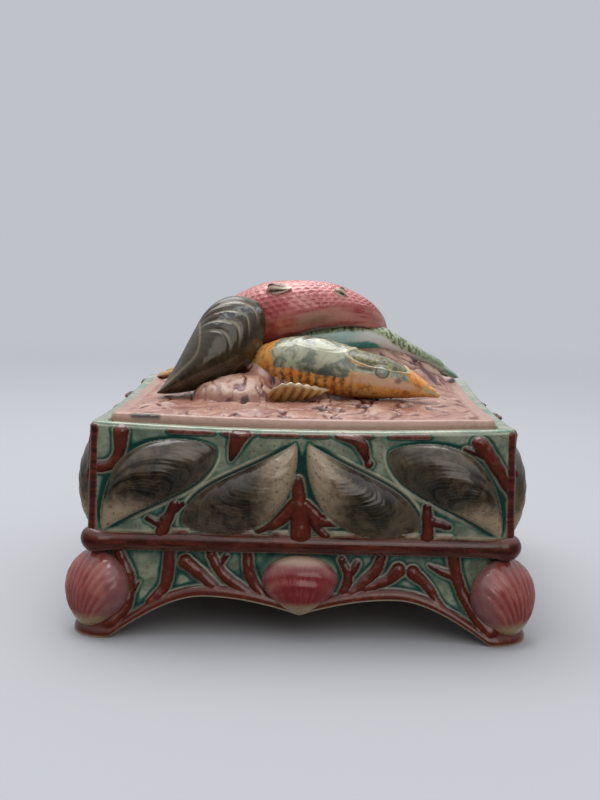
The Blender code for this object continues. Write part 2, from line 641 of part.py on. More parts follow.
def main():
    """Build the box and its lid."""
    clear_scene()
    parts = new_collection("majolica_lidded_box")
    box_forms = new_collection("box_forms")
    box_hollows = new_collection("box_hollows")
    lid_forms = new_collection("lid_forms")
    lid_hollows = new_collection("lid_hollows")
    box_blocks(box_forms)
    box_moulding(box_forms)
    box_relief(box_forms)
    box_cutters(box_hollows)
    finish_piece(box_forms, "walls", "box", box_forms, box_hollows,
                 glaze("sea_green_glaze", (0.10, 0.16, 0.13), 0.2), parts)
    lid_plate(lid_forms)
    lid_ground(lid_forms)
    lid_group(lid_forms)
    lid_cutters(lid_hollows)
    finish_piece(lid_forms, "plate", "lid", lid_forms, lid_hollows,
                 glaze("mauve_glaze", (0.42, 0.22, 0.22), 0.2), parts)


main()
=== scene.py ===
"""Looks of the majolica lidded box: fine relief, shells, fish and glazes around its solids.

Sizes are in millimetres until a mesh is written, which is in metres. +Z is up and the front faces -Y.
"""

import logging
import math
from dataclasses import dataclass, field
from enum import Enum
from typing import Callable, Sequence

import bpy
import numpy as np
from mathutils import Matrix, Vector


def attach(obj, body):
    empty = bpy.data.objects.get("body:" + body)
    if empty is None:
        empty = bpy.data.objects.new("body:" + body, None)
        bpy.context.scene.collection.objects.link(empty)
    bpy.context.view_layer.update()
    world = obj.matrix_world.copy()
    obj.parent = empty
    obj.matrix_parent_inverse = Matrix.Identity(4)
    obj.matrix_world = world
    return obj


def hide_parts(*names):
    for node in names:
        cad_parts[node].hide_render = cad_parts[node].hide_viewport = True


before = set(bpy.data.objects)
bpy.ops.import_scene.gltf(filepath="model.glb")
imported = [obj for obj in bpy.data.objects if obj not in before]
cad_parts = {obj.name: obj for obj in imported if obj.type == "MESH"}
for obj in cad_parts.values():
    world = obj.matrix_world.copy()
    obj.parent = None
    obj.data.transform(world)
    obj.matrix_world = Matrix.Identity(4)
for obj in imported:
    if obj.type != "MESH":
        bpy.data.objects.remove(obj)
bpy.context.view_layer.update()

Array = np.ndarray
Socket = bpy.types.NodeSocket
Colour = tuple[float, float, float]
Masks = dict[str, Array]
Formed = tuple[Array, Masks]
Piece = bpy.types.Object

MM = 0.001
LOG = logging.getLogger("majolica_box")


class Side(Enum):
    """The four sides of the box, as quarter turns from the front."""

    FRONT = 0
    RIGHT = 1
    BACK = 2
    LEFT = 3


# Numbers and curves


def unit(value: Array) -> Array:
    """A value held between 0 and 1."""
    return np.clip(value, 0.0, 1.0)


def ease(low: float, high: float, value: Array) -> Array:
    """Ease from 0 where the value is low to 1 where it is high; low may be above high."""
    share = unit((value - low) / (high - low))
    return share * share * (3.0 - 2.0 * share)


def lobe(share: Array, skew: float, fullness: float) -> Array:
    """A swell from 0 over 1 to 0 along a share, skewed along it and blunted at its ends."""
    return np.sin(np.pi * unit(share) ** skew) ** fullness


def soft_max(one: Array, other: Array, reach: float) -> Array:
    """The higher of two surfaces, blended where they are within reach of each other."""
    near = np.maximum(reach - np.abs(one - other), 0.0) / reach
    return np.maximum(one, other) + near * near * reach / 4.0


def ridge(value: Array, width: float) -> Array:
    """A bell of height 1 round the value 0, down to a third at its width."""
    return np.exp(-((value / width) ** 2))


def plateau(value: Array, low: float, high: float, soft: float) -> Array:
    """1 between two values, easing to 0 over a soft stretch at each end."""
    half = soft / 2.0
    return ease(low - half, low + half, value) * ease(high + half, high - half, value)


def lattice_noise(across: Array, along: Array, seed: float) -> Array:
    """Smooth irregular values on a plane, one hill or dip to each unit square.

    Args:
        across: First coordinate, in lattice units.
        along: Second coordinate, in lattice units.
        seed: Picks another pattern.

    Returns:
        Values from -1 to 1.
    """
    column, row = np.floor(across), np.floor(along)
    ease_x, ease_y = ease(0.0, 1.0, across - column), ease(0.0, 1.0, along - row)

    def corner(right: int, up: int) -> Array:
        """The lattice's own value at one corner of each point's square."""
        mixed = np.sin((column + right) * 12.9898 + (row + up) * 78.233 + seed * 37.719) * 4375.85453
        return (mixed - np.floor(mixed)) * 2.0 - 1.0

    lower = corner(0, 0) * (1.0 - ease_x) + corner(1, 0) * ease_x
    upper = corner(0, 1) * (1.0 - ease_x) + corner(1, 1) * ease_x
    return lower * (1.0 - ease_y) + upper * ease_y


def cloud(across: Array, along: Array, size: float, seed: float, octaves: int = 3) -> Array:
    """Irregular values with finer ones laid on top.

    Args:
        across: First coordinate in millimetres.
        along: Second coordinate in millimetres.
        size: Millimetres from one hill to the next.
        seed: Picks another pattern.
        octaves: How many layers, each twice as fine and half as strong.

    Returns:
        Values of about -1 to 1.
    """
    total = np.zeros_like(across, dtype=float)
    weight = 0.0
    for octave in range(octaves):
        scale = 2.0 ** octave
        total += lattice_noise(across * scale / size, along * scale / size, seed + octave * 5.3) / scale
        weight += 1.0 / scale
    return total / weight


def blurred(field_values: Array, cells: int) -> Array:
    """A field with its fine detail smoothed away by three running means.

    Args:
        field_values: Values on a grid.
        cells: Half the width of a running mean, in cells.

    Returns:
        The smoothed grid.
    """
    result = field_values
    for _ in range(3):
        for axis in (0, 1):
            pad = [(cells + 1, cells) if axis == step else (0, 0) for step in (0, 1)]
            total = np.cumsum(np.pad(result, pad, mode="edge"), axis=axis)
            low = [slice(None), slice(None)]
            high = [slice(None), slice(None)]
            low[axis] = slice(0, -(2 * cells + 1))
            high[axis] = slice(2 * cells + 1, None)
            result = (total[tuple(high)] - total[tuple(low)]) / (2 * cells + 1)
    return result


def smooth_route(rows: Sequence[Sequence[float]], steps: int) -> Array:
    """Points on a smooth curve through the given ones.

    Args:
        rows: Points, each a row of numbers.
        steps: Stretches between each two.

    Returns:
        One row for each point of the curve.
    """
    knots = np.array(rows, dtype=float)
    knots = np.vstack([2 * knots[0] - knots[1], knots, 2 * knots[-1] - knots[-2]])
    path = []
    for before, start, end, after in zip(knots, knots[1:], knots[2:], knots[3:]):
        for step in range(steps):
            t = step / steps
            path.append(0.5 * (2 * start + (end - before) * t + (2 * before - 5 * start + 4 * end
                - after) * t ** 2 + (3 * start - before - 3 * end + after) * t ** 3))
    path.append(knots[-2])
    return np.array(path)


def stroke_distance(across: Array, along: Array, route: Array) -> tuple[Array, Array]:
    """Distance of each point of a plane from a drawn stroke, and the stroke's radius there.

    Args:
        across: First coordinate of the points.
        along: Second coordinate of the points.
        route: Rows of (across, along, radius) on the stroke.

    Returns:
        The distances, and the radii at the nearest places.
    """
    best = np.full(across.shape, 1e9)
    radius = np.zeros(across.shape)
    for (x0, y0, r0), (x1, y1, r1) in zip(route, route[1:]):
        run_x, run_y = x1 - x0, y1 - y0
        length = max(run_x * run_x + run_y * run_y, 1e-9)
        share = unit(((across - x0) * run_x + (along - y0) * run_y) / length)
        reach = np.hypot(across - x0 - share * run_x, along - y0 - share * run_y)
        here = r0 + share * (r1 - r0)
        nearer = reach - here < best - radius
        best = np.where(nearer, reach, best)
        radius = np.where(nearer, here, radius)
    return best, radius


def coral_branch(across: Array, height: Array, rows: Sequence[Sequence[float]], slim: float,
        wobble: Array, sink: float) -> tuple[Array, Array]:
    """One branch of coral, half sunk in the ground.

    Args:
        across: First coordinate of the points.
        height: Second coordinate of the points.
        rows: Rows of (across, height, radius) along the branch.
        slim: Share of the radius that is kept.
        wobble: Millimetres added to the radius.
        sink: How deep its middle line lies.

    Returns:
        Its height over the ground, and the distance from its foot, negative inside.
    """
    reach, radius = stroke_distance(across, height, smooth_route(rows, 5))
    radius = radius * slim + wobble
    dome = np.sqrt(np.maximum(radius ** 2 - reach ** 2, 0.0)) - sink
    raised = np.where(reach < radius, dome, -sink - (reach - radius))
    return raised, reach - np.sqrt(np.maximum(radius ** 2 - sink ** 2, 0.04))


def square_ring(turn: Array, half: Array, corner: Array) -> tuple[Array, Array, Array]:
    """Walk round a square with rounded corners, with part of the way kept for each corner.

    Args:
        turn: Angle of each point, which runs round the square once.
        half: Half the square's side.
        corner: Radius of its corners.

    Returns:
        Two coordinates, and the angle that faces outwards.
    """
    straight = 0.72
    quarter = np.floor((turn + math.pi / 4.0) / (math.pi / 2.0))
    share = (turn - quarter * math.pi / 2.0) / (math.pi / 4.0)
    bend = np.sign(share) * unit((np.abs(share) - straight) / (1.0 - straight)) * math.pi / 4.0
    side = np.maximum(half - corner, 0.0)
    out = side + corner * np.cos(bend)
    run = np.where(np.abs(share) < straight, share / straight * side,
        np.sign(share) * side + corner * np.sin(bend))
    swing = quarter * math.pi / 2.0
    x = out * np.cos(swing) - run * np.sin(swing)
    y = out * np.sin(swing) + run * np.cos(swing)
    return x, y, bend + swing


def settled(places: Array, depth: float = 2.3) -> Array:
    """Let the rim and the lid's edge sag between the corners, as they did in the kiln.

    Args:
        places: Places in millimetres, the last axis being x, y and z.
        depth: How far the middle of a side has sunk.

    Returns:
        The places after sinking.
    """
    x, y, z = places[..., 0], places[..., 1], places[..., 2]
    sag = ease(58.0, 76.0, np.abs(y)) * unit(1.0 - (x / 80.0) ** 2)
    sag += ease(58.0, 76.0, np.abs(x)) * unit(1.0 - (y / 80.0) ** 2)
    lowered = places.copy()
    lowered[..., 2] = z - depth * sag * ease(75.0, 81.5, z)
    return lowered


# Meshes


def pick(piece: Piece) -> None:
    """Select one piece alone, and make it active."""
    deselect_all()
    piece.select_set(True)
    bpy.context.view_layer.objects.active = piece


def deselect_all() -> None:
    """Leave nothing selected, so that an operator acts on the new piece alone."""
    bpy.ops.object.select_all(action="DESELECT")


def take_primitive(name: str) -> Piece:
    """Name the primitive that was just added.

    Args:
        name: Its name.

    Returns:
        The object, selected and active.
    """
    piece = bpy.context.object
    piece.name = name
    piece.data.name = name
    return piece


def mesh_places(piece: Piece) -> Array:
    """The corners of a mesh as rows of numbers."""
    places = np.empty(len(piece.data.vertices) * 3)
    piece.data.vertices.foreach_get("co", places)
    return places.reshape(-1, 3)


def move_corners(piece: Piece, places: Array) -> None:
    """Put a mesh's corners where an array in millimetres says."""
    piece.data.vertices.foreach_set("co", (places * MM).astype(np.float32).ravel())
    piece.data.update()


def write_masks(piece: Piece, masks: Masks) -> None:
    """Store a value for each corner under each mask's name, for the materials to read."""
    for name, values in masks.items():
        layer = piece.data.attributes.new(name, "FLOAT", "POINT")
        layer.data.foreach_set("value", np.asarray(values, dtype=np.float32).ravel())


def face_outwards() -> None:
    """Turn the active piece's faces outwards, and leave edit mode."""
    bpy.ops.object.mode_set(mode="EDIT")
    bpy.ops.mesh.select_all(action="SELECT")
    bpy.ops.mesh.normals_make_consistent(inside=False)
    bpy.ops.object.mode_set(mode="OBJECT")


def relief_slab(name: str, front: Array, back: Array, masks: Masks) -> Piece:
    """A closed slab with a fine front, made from a grid that is wrapped round and capped.

    Args:
        name: The piece's name.
        front: Places of the front, (rows, columns, 3), lowest row first.
        back: Two rows of places behind it, the upper one first.
        masks: Values for the front, (rows, columns).

    Returns:
        The piece.
    """
    places = np.concatenate([front, back, front[:1]])
    rows, columns = places.shape[:2]
    deselect_all()
    bpy.ops.mesh.primitive_grid_add(x_subdivisions=columns - 1, y_subdivisions=rows - 1, size=2.0)
    piece = take_primitive(name)
    flat = mesh_places(piece)
    column = np.rint((flat[:, 0] + 1.0) / 2.0 * (columns - 1)).astype(int)
    row = np.rint((flat[:, 1] + 1.0) / 2.0 * (rows - 1)).astype(int)
    move_corners(piece, places[row, column])
    wrapped = {key: np.concatenate([mask, mask[-1:], mask[:1], mask[:1]]) for key, mask in masks.items()}
    write_masks(piece, {key: mask[row, column] for key, mask in wrapped.items()})
    bpy.ops.object.mode_set(mode="EDIT")
    bpy.ops.mesh.select_all(action="SELECT")
    bpy.ops.mesh.remove_doubles(threshold=0.000001)
    bpy.ops.mesh.fill_holes(sides=0)
    face_outwards()
    return piece


def lathe_form(name: str, around: int, along: int,
        shape: Callable[[Array, Array], Formed]) -> Piece:
    """A closed form made from a sphere, whose poles become the two ends of the form.

    Args:
        name: The piece's name.
        around: Corners in each ring.
        along: Rings from one end to the other.
        shape: Gives places and masks for shares along the form and angles round it.

    Returns:
        The piece.
    """
    deselect_all()
    bpy.ops.mesh.primitive_uv_sphere_add(segments=around, ring_count=along, radius=1.0)
    piece = take_primitive(name)
    ball = mesh_places(piece)
    share = np.arccos(np.clip(ball[:, 2], -1.0, 1.0)) / np.pi
    angle = np.arctan2(ball[:, 1], ball[:, 0])
    places, masks = shape(share, angle)
    move_corners(piece, places)
    write_masks(piece, masks)
    face_outwards()
    return piece


@dataclass(frozen=True)
class Ring:
    """One ring of a square casting: its half side, height, corner radius, and how oval it is."""

    half: float
    height: float
    corner: float = 4.0
    oval: float = 0.0
    back: float = 0.0
    flat: float = 1.0


def cast_form(name: str, rings: Sequence[Ring], around: int, steps: int) -> Piece:
    """A closed square casting, given as the rings that its section turns through.

    Args:
        name: The piece's name.
        rings: From the middle of one face round to the middle of the other.
        around: Corners in each ring.
        steps: Rows of faces between each two rings.

    Returns:
        The piece.
    """
    table = np.array([(r.half, r.height, r.corner, r.oval, r.back, r.flat) for r in rings])

    def shape(share: Array, angle: Array) -> Formed:
        """Places on the rings, square or oval."""
        where = np.rint(share * (len(rings) - 1) * steps) / steps
        half, height, corner, oval, back, flat = (np.interp(where, np.arange(len(rings)),
            column) for column in table.T)
        x, y, _ = square_ring(angle, half, np.minimum(corner, half))
        x = x * (1.0 - oval) + oval * half * np.cos(angle)
        y = y * (1.0 - oval) + oval * (half * flat * np.sin(angle) + back)
        return settled(np.stack([x, y, height], axis=1)), {}

    return lathe_form(name, around, (len(rings) - 1) * steps, shape)


def turned_copy(piece: Piece, name: str, side: Side) -> Piece:
    """A copy of a piece on another side of the box, with its own mesh.

    Args:
        piece: The piece on the front.
        name: The copy's name.
        side: Where the copy goes.

    Returns:
        The copy.
    """
    copy = piece.copy()
    copy.data = piece.data.copy()
    copy.name = name
    copy.data.name = name
    bpy.context.scene.collection.objects.link(copy)
    pick(copy)
    copy.rotation_euler = (0.0, 0.0, math.radians(90.0 * side.value))
    bpy.ops.object.transform_apply(location=True, rotation=True, scale=True)
    return copy


def on_four_sides(piece: Piece) -> list[Piece]:
    """Repeat the front's piece on the other three sides, and name each for its side."""
    base = piece.name
    copies = [turned_copy(piece, f"{base}_{side.name.lower()}", side) for side in list(Side)[1:]]
    piece.name = f"{base}_front"
    return [piece, *copies]


def finish_piece(piece: Piece, material: bpy.types.Material,
        smooth_to: float = 50.0, stands_for: str = "") -> None:
    """Shade a piece, glaze it and tie it to the solids.

    Args:
        piece: The piece.
        material: Its glaze.
        smooth_to: Edges up to this many degrees are shaded smooth.
        stands_for: The node that the piece is shown for, if there is one.
    """
    pick(piece)
    bpy.ops.object.shade_smooth_by_angle(angle=math.radians(smooth_to))
    piece.data.materials.clear()
    piece.data.materials.append(material)
    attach(piece, "root")
    if stands_for:
        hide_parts(stands_for)
    piece.data.calc_loop_triangles()
    LOG.info("%s: %d triangles", piece.name, len(piece.data.loop_triangles))


# Node sheets


class NodeSheet:
    """Lays out the nodes of one material or of one group."""

    def __init__(self, tree: bpy.types.NodeTree) -> None:
        """Start on a tree, and keep it."""
        self.tree = tree

    def node(self, kind: str, **settings: object) -> bpy.types.Node:
        """Add a node and set its options.

        Args:
            kind: The node's type.
            settings: Values for its own properties.

        Returns:
            The node.
        """
        made = self.tree.nodes.new(kind)
        for name, value in settings.items():
            setattr(made, name, value)
        return made

    def feed(self, socket: Socket, value: object) -> None:
        """Link a socket, or set it to a number or a colour."""
        if isinstance(value, bpy.types.NodeSocket):
            self.tree.links.new(value, socket)
        elif isinstance(value, tuple) and socket.type == "RGBA":
            socket.default_value = (*value, 1.0)
        else:
            socket.default_value = value

    def mask(self, name: str) -> Socket:
        """A value that the mesh carries at its corners."""
        return self.node("ShaderNodeAttribute", attribute_name=name).outputs["Fac"]

    def place(self) -> Socket:
        """The place on the object, in metres."""
        return self.node("ShaderNodeTexCoord").outputs["Object"]

    def point(self, x: object, y: object, z: object = 0.0) -> Socket:
        """A place made of three values."""
        made = self.node("ShaderNodeCombineXYZ")
        for socket, value in zip(made.inputs, (x, y, z)):
            self.feed(socket, value)
        return made.outputs[0]

    def split(self, vector: Socket) -> Sequence[Socket]:
        """The three values of a place."""
        made = self.node("ShaderNodeSeparateXYZ")
        self.feed(made.inputs[0], vector)
        return made.outputs

    def noise(self, vector: Socket, scale: float, detail: float = 3.0, roughness: float = 0.55,
            distortion: float = 0.0) -> Socket:
        """Cloudy values round 0.5.

        Args:
            vector: Where the noise is read.
            scale: Hills to a unit of the vector.
            detail: Finer layers.
            roughness: Strength of the finer layers.
            distortion: How far the hills are pulled about.

        Returns:
            The values.
        """
        made = self.node("ShaderNodeTexNoise")
        self.feed(made.inputs["Vector"], vector)
        self.feed(made.inputs["Scale"], scale)
        self.feed(made.inputs["Detail"], detail)
        self.feed(made.inputs["Roughness"], roughness)
        self.feed(made.inputs["Distortion"], distortion)
        return made.outputs["Fac"]

    def math(self, operation: str, one: object, other: object = 0.0) -> Socket:
        """One sum on two values."""
        made = self.node("ShaderNodeMath", operation=operation)
        self.feed(made.inputs[0], one)
        self.feed(made.inputs[1], other)
        return made.outputs[0]

    def times(self, one: object, other: object) -> Socket:
        """The product of two values."""
        return self.math("MULTIPLY", one, other)

    def plus(self, one: object, other: object) -> Socket:
        """The sum of two values."""
        return self.math("ADD", one, other)

    def ragged(self, value: object, noise: Socket, reach: float) -> Socket:
        """A value that a noise round 0.5 moves up and down."""
        return self.plus(value, self.times(self.math("SUBTRACT", noise, 0.5), reach))

    def fade(self, value: object, low: object, high: object, start: float = 0.0,
            end: float = 1.0) -> Socket:
        """Ease from start at low to end at high, held beyond both."""
        made = self.node("ShaderNodeMapRange", interpolation_type="SMOOTHSTEP")
        for socket, setting in zip(made.inputs, (value, low, high, start, end)):
            self.feed(socket, setting)
        return made.outputs[0]

    def lay(self, under: object, over: object, share: object) -> Socket:
        """Lay one colour over another.

        Args:
            under: The colour below.
            over: The colour laid on it.
            share: How much of it, from 0 to 1.

        Returns:
            The colour.
        """
        made = self.node("ShaderNodeMix", data_type="RGBA", clamp_factor=True)
        self.feed(made.inputs["Factor"], share)
        self.feed(made.inputs[6], under)
        self.feed(made.inputs[7], over)
        return made.outputs[2]

    def use(self, group: bpy.types.NodeTree, **values: object) -> bpy.types.Node:
        """Place a shared group, with its inputs named as words joined by underscores."""
        made = self.node("ShaderNodeGroup")
        made.node_tree = group
        for name, value in values.items():
            self.feed(made.inputs[name.replace("_", " ")], value)
        return made


class Kind(Enum):
    """What a group's socket carries."""

    NUMBER = "NodeSocketFloat"
    COLOUR = "NodeSocketColor"
    VECTOR = "NodeSocketVector"


def new_group(name: str, takes: dict[str, Kind], gives: dict[str, Kind]) -> tuple[
        NodeSheet, Sequence[Socket], bpy.types.Node]:
    """Start a shared group.

    Args:
        name: Its name.
        takes: Its inputs.
        gives: Its outputs.

    Returns:
        The sheet, the sockets that its inputs come in by, and the node that takes its outputs.
    """
    tree = bpy.data.node_groups.new(name, "ShaderNodeTree")
    for way, sockets in (("INPUT", takes), ("OUTPUT", gives)):
        for label, kind in sockets.items():
            tree.interface.new_socket(label, in_out=way, socket_type=kind.value)
    sheet = NodeSheet(tree)
    return sheet, sheet.node("NodeGroupInput").outputs, sheet.node("NodeGroupOutput")


class SharedEffects:
    """Effects that more than one glaze uses, each built once as a group."""

    def __init__(self) -> None:
        """Build the groups."""
        self.mottle = self._mottle()
        self.speckle = self._speckle()
        self.surface = self._surface()
        self.mussel = self._mussel()

    @staticmethod
    def _mottle() -> bpy.types.NodeTree:
        """Two colours that run into each other in clouds."""
        sheet, given, out = new_group("glaze_mottle", {
            "Place": Kind.VECTOR, "Light": Kind.COLOUR, "Dark": Kind.COLOUR, "Scale": Kind.NUMBER,
            "Balance": Kind.NUMBER}, {"Colour": Kind.COLOUR})
        clouds = sheet.noise(given["Place"], given["Scale"], 4.0, 0.6, 0.4)
        low = sheet.math("SUBTRACT", given["Balance"], 0.14)
        high = sheet.plus(given["Balance"], 0.14)
        share = sheet.fade(clouds, low, high)
        sheet.feed(out.inputs["Colour"], sheet.lay(given["Dark"], given["Light"], share))
        return sheet.tree

    @staticmethod
    def _speckle() -> bpy.types.NodeTree:
        """Small specks of another colour, thicker in some places than in others."""
        sheet, given, out = new_group("glaze_speckle", {
            "Place": Kind.VECTOR, "Under": Kind.COLOUR, "Speck": Kind.COLOUR, "Scale": Kind.NUMBER,
            "Amount": Kind.NUMBER}, {"Colour": Kind.COLOUR})
        specks = sheet.fade(sheet.noise(given["Place"], given["Scale"], 2.0, 0.7), 0.52, 0.68)
        coarse = sheet.noise(given["Place"], sheet.times(given["Scale"], 0.13), 2.0)
        share = sheet.times(sheet.times(specks, sheet.fade(coarse, 0.38, 0.62)), given["Amount"])
        sheet.feed(out.inputs["Colour"], sheet.lay(given["Under"], given["Speck"], share))
        return sheet.tree

    @staticmethod
    def _surface() -> bpy.types.NodeTree:
        """The slightly wavy, pitted skin of a thick glaze."""
        sheet, given, out = new_group("glaze_surface", {"Place": Kind.VECTOR}, {
            "Height": Kind.NUMBER, "Roughness": Kind.NUMBER})
        waves = sheet.noise(given["Place"], 320.0, 2.0, 0.5)
        grain = sheet.noise(given["Place"], 1600.0, 2.0, 0.6)
        pits = sheet.fade(sheet.noise(given["Place"], 700.0, 1.0, 0.5), 0.74, 0.80)
        height = sheet.plus(waves, sheet.times(grain, 0.12))
        sheet.feed(out.inputs["Height"], sheet.math("SUBTRACT", height, sheet.times(pits, 0.5)))
        sheet.feed(out.inputs["Roughness"], sheet.fade(waves, 0.35, 0.7, 0.16, 0.30))
        return sheet.tree

    @staticmethod
    def _mussel() -> bpy.types.NodeTree:
        """The paint of a mussel: dark growth crescents on olive brown, buff at the tip."""
        sheet, given, out = new_group("mussel_paint", {
            "Place": Kind.VECTOR, "Growth": Kind.NUMBER, "Belly": Kind.NUMBER, "Buff": Kind.NUMBER},
            {"Colour": Kind.COLOUR})
        umber = sheet.noise(given["Place"], 160.0, 5.0, 0.65, 0.6)
        base = sheet.lay((0.017, 0.011, 0.0055), (0.078, 0.051, 0.028), sheet.fade(umber, 0.40, 0.66))
        blue = sheet.times(sheet.fade(given["Belly"], 0.15, -0.55),
            sheet.fade(sheet.noise(given["Place"], 90.0, 2.0), 0.35, 0.6))
        base = sheet.lay(base, (0.040, 0.036, 0.029), sheet.times(blue, 0.7))
        wobble = sheet.times(sheet.noise(given["Place"], 120.0, 2.0), 0.10)
        rings = sheet.plus(given["Growth"], wobble)
        hatch = sheet.math("SINE", sheet.times(rings, 190.0))
        base = sheet.lay(base, (0.18, 0.14, 0.095), sheet.fade(hatch, 0.3, 1.0, 0.0, 0.12))
        bold = sheet.math("SINE", sheet.times(rings, 40.0))
        broken = sheet.fade(sheet.noise(given["Place"], 75.0, 2.0), 0.44, 0.60)
        base = sheet.lay(base, (0.004, 0.003, 0.002), sheet.times(sheet.fade(bold, 0.45, 0.98),
            sheet.times(broken, 0.6)))
        edge = sheet.times(sheet.fade(given["Growth"], 0.64, 1.0), sheet.fade(umber, 0.30, 0.62, 0.25, 0.9))
        base = sheet.lay(base, (0.150, 0.115, 0.076), sheet.times(edge, 0.6))
        ragged = sheet.ragged(given["Buff"], sheet.noise(given["Place"], 230.0, 4.0, 0.7), 0.9)
        base = sheet.lay(base, (0.38, 0.29, 0.19), sheet.fade(ragged, 0.08, 1.10))
        rust = sheet.times(sheet.fade(sheet.noise(given["Place"], 650.0, 2.0), 0.58, 0.68),
            sheet.fade(given["Buff"], 0.25, 0.75))
        sheet.feed(out.inputs["Colour"], sheet.lay(base, (0.12, 0.05, 0.02), sheet.times(rust, 0.7)))
        return sheet.tree


class Glaze:
    """A glossy glaze: a colour that a subclass lays out, under a clear wavy coat."""

    name = "glaze"
    coat = 0.30
    wave = 0.00016
    matt = 0.0

    def __init__(self, effects: SharedEffects) -> None:
        """Build the material with the shared effects."""
        self.effects = effects
        self.material = bpy.data.materials.new(self.name)
        self.material.use_nodes = True
        self.sheet = NodeSheet(self.material.node_tree)
        self._build()

    def _build(self) -> None:
        """Lay out the nodes and join them to the shader."""
        sheet = self.sheet
        shader = self.material.node_tree.nodes["Principled BSDF"]
        place = sheet.place()
        skin = sheet.use(self.effects.surface, Place=place)
        bump = sheet.node("ShaderNodeBump")
        bump.inputs["Strength"].default_value = 0.35
        bump.inputs["Distance"].default_value = self.wave
        sheet.feed(bump.inputs["Height"], skin.outputs["Height"])
        sheet.feed(shader.inputs["Base Color"], self.colour(place))
        sheet.feed(shader.inputs["Roughness"], sheet.plus(skin.outputs["Roughness"], self.matt))
        sheet.feed(shader.inputs["Normal"], bump.outputs["Normal"])
        shader.inputs["IOR"].default_value = 1.52
        shader.inputs["Coat Weight"].default_value = self.coat
        shader.inputs["Coat Roughness"].default_value = 0.07

    def mottled(self, place: Socket, light: Colour, dark: Colour, scale: float, balance: float) -> Socket:
        """Two colours in clouds."""
        return self.sheet.use(self.effects.mottle, Place=place, Light=light, Dark=dark, Scale=scale,
            Balance=balance).outputs[0]

    def speckled(self, place: Socket, under: Socket, speck: Colour, scale: float, amount: float) -> Socket:
        """A colour with specks of another one."""
        return self.sheet.use(self.effects.speckle, Place=place, Under=under, Speck=speck, Scale=scale,
            Amount=amount).outputs[0]

    def mussel_paint(self, place: Socket) -> Socket:
        """The paint that all mussels share."""
        masks = {name: self.sheet.mask(name.lower()) for name in ("Growth", "Belly", "Buff")}
        return self.sheet.use(self.effects.mussel, Place=place, **masks).outputs[0]

    def colour(self, place: Socket) -> Socket:
        """The colour over the surface.

        Args:
            place: The place on the object.

        Returns:
            The colour's socket.
        """
        raise NotImplementedError


class RockPoolGlaze(Glaze):
    """Sea-green ground with pooled teal, ox-blood coral and dark mussels, for the relief of the box."""

    name = "rock_pool_glaze"

    def colour(self, place: Socket) -> Socket:
        """Ground first, then coral with painted highlights on its crest, shells and the lines between them.
        """
        sheet = self.sheet
        ground = self.mottled(place, (0.27, 0.30, 0.215), (0.115, 0.155, 0.105), 120.0, 0.5)
        ground = self.speckled(place, ground, (0.15, 0.095, 0.050), 620.0, 0.85)
        pool = sheet.ragged(sheet.mask("pool"), sheet.noise(place, 260.0, 3.0), 0.55)
        ground = sheet.lay(ground, (0.045, 0.125, 0.085), sheet.fade(pool, 0.08, 0.42))
        ground = sheet.lay(ground, (0.006, 0.045, 0.032), sheet.fade(pool, 0.36, 0.85))
        ground = sheet.lay(ground, (0.40, 0.45, 0.33), sheet.times(sheet.mask("thin"), 0.85))
        streak = sheet.noise(place, 330.0, 4.0, 0.65, 0.5)
        # Coral darker at its foot and lighter up towards its crest, by the ridge mask's height.
        coral = sheet.lay((0.036, 0.0055, 0.0035), (0.110, 0.016, 0.008),
            sheet.fade(sheet.mask("ridge"), 0.05, 0.75))
        # Painted highlight: pale streaks along the coral's crest.
        coral = sheet.lay(coral, (0.210, 0.040, 0.018), sheet.times(sheet.fade(streak, 0.52, 0.72),
            sheet.fade(sheet.mask("ridge"), 0.35, 0.95)))
        painted = sheet.lay(ground, coral, sheet.mask("coral"))
        dash = sheet.lay((0.095, 0.020, 0.013), (0.180, 0.055, 0.038), sheet.fade(streak, 0.4, 0.6))
        painted = sheet.lay(painted, dash, sheet.mask("dash"))
        mussel = self.mussel_paint(place)
        painted = sheet.lay(painted, mussel, sheet.mask("mussel"))
        painted = sheet.lay(painted, (0.020, 0.012, 0.007), sheet.mask("shade"))
        return sheet.lay(painted, (0.44, 0.36, 0.25), sheet.mask("cream"))


class BodyGlaze(Glaze):
    """Pale sea green for the rim and the inside, brown under the floor."""

    name = "body_glaze"

    def colour(self, place: Socket) -> Socket:
        """Mint with teal runs, and mottled brown on what faces the table."""
        sheet = self.sheet
        mint = self.mottled(place, (0.42, 0.46, 0.35), (0.22, 0.31, 0.23), 90.0, 0.47)
        mint = self.speckled(place, mint, (0.30, 0.27, 0.18), 700.0, 0.5)
        teal = sheet.noise(place, 60.0, 3.0, 0.6)
        mint = sheet.lay(mint, (0.10, 0.25, 0.18), sheet.fade(teal, 0.60, 0.72, 0.0, 0.75))
        brown = self.mottled(place, (0.16, 0.10, 0.06), (0.07, 0.035, 0.025), 110.0, 0.5)
        height = sheet.split(place)[2]
        return sheet.lay(brown, mint, sheet.fade(height, 0.0345, 0.0365))


class OxbloodGlaze(Glaze):
    """Ox-blood brown of the round moulding and the corners."""

    name = "oxblood_glaze"

    def colour(self, place: Socket) -> Socket:
        """Streaks along the moulding, redder above and purple brown below, with pale edges."""
        sheet = self.sheet
        x, y, z = sheet.split(place)
        stretched = sheet.point(sheet.times(x, 0.35), sheet.times(y, 0.35), sheet.times(z, 2.2))
        streak = sheet.noise(stretched, 300.0, 5.0, 0.6, 0.3)
        red = sheet.lay((0.050, 0.008, 0.005), (0.140, 0.023, 0.012), sheet.fade(streak, 0.38, 0.68))
        purple = sheet.lay((0.065, 0.022, 0.017), (0.115, 0.046, 0.034), sheet.fade(streak, 0.4, 0.65))
        under = sheet.lay(red, purple, sheet.mask("below"))
        return sheet.lay(under, (0.36, 0.25, 0.18), sheet.times(sheet.mask("rim"),
            sheet.fade(streak, 0.36, 0.5, 0.35, 0.9)))


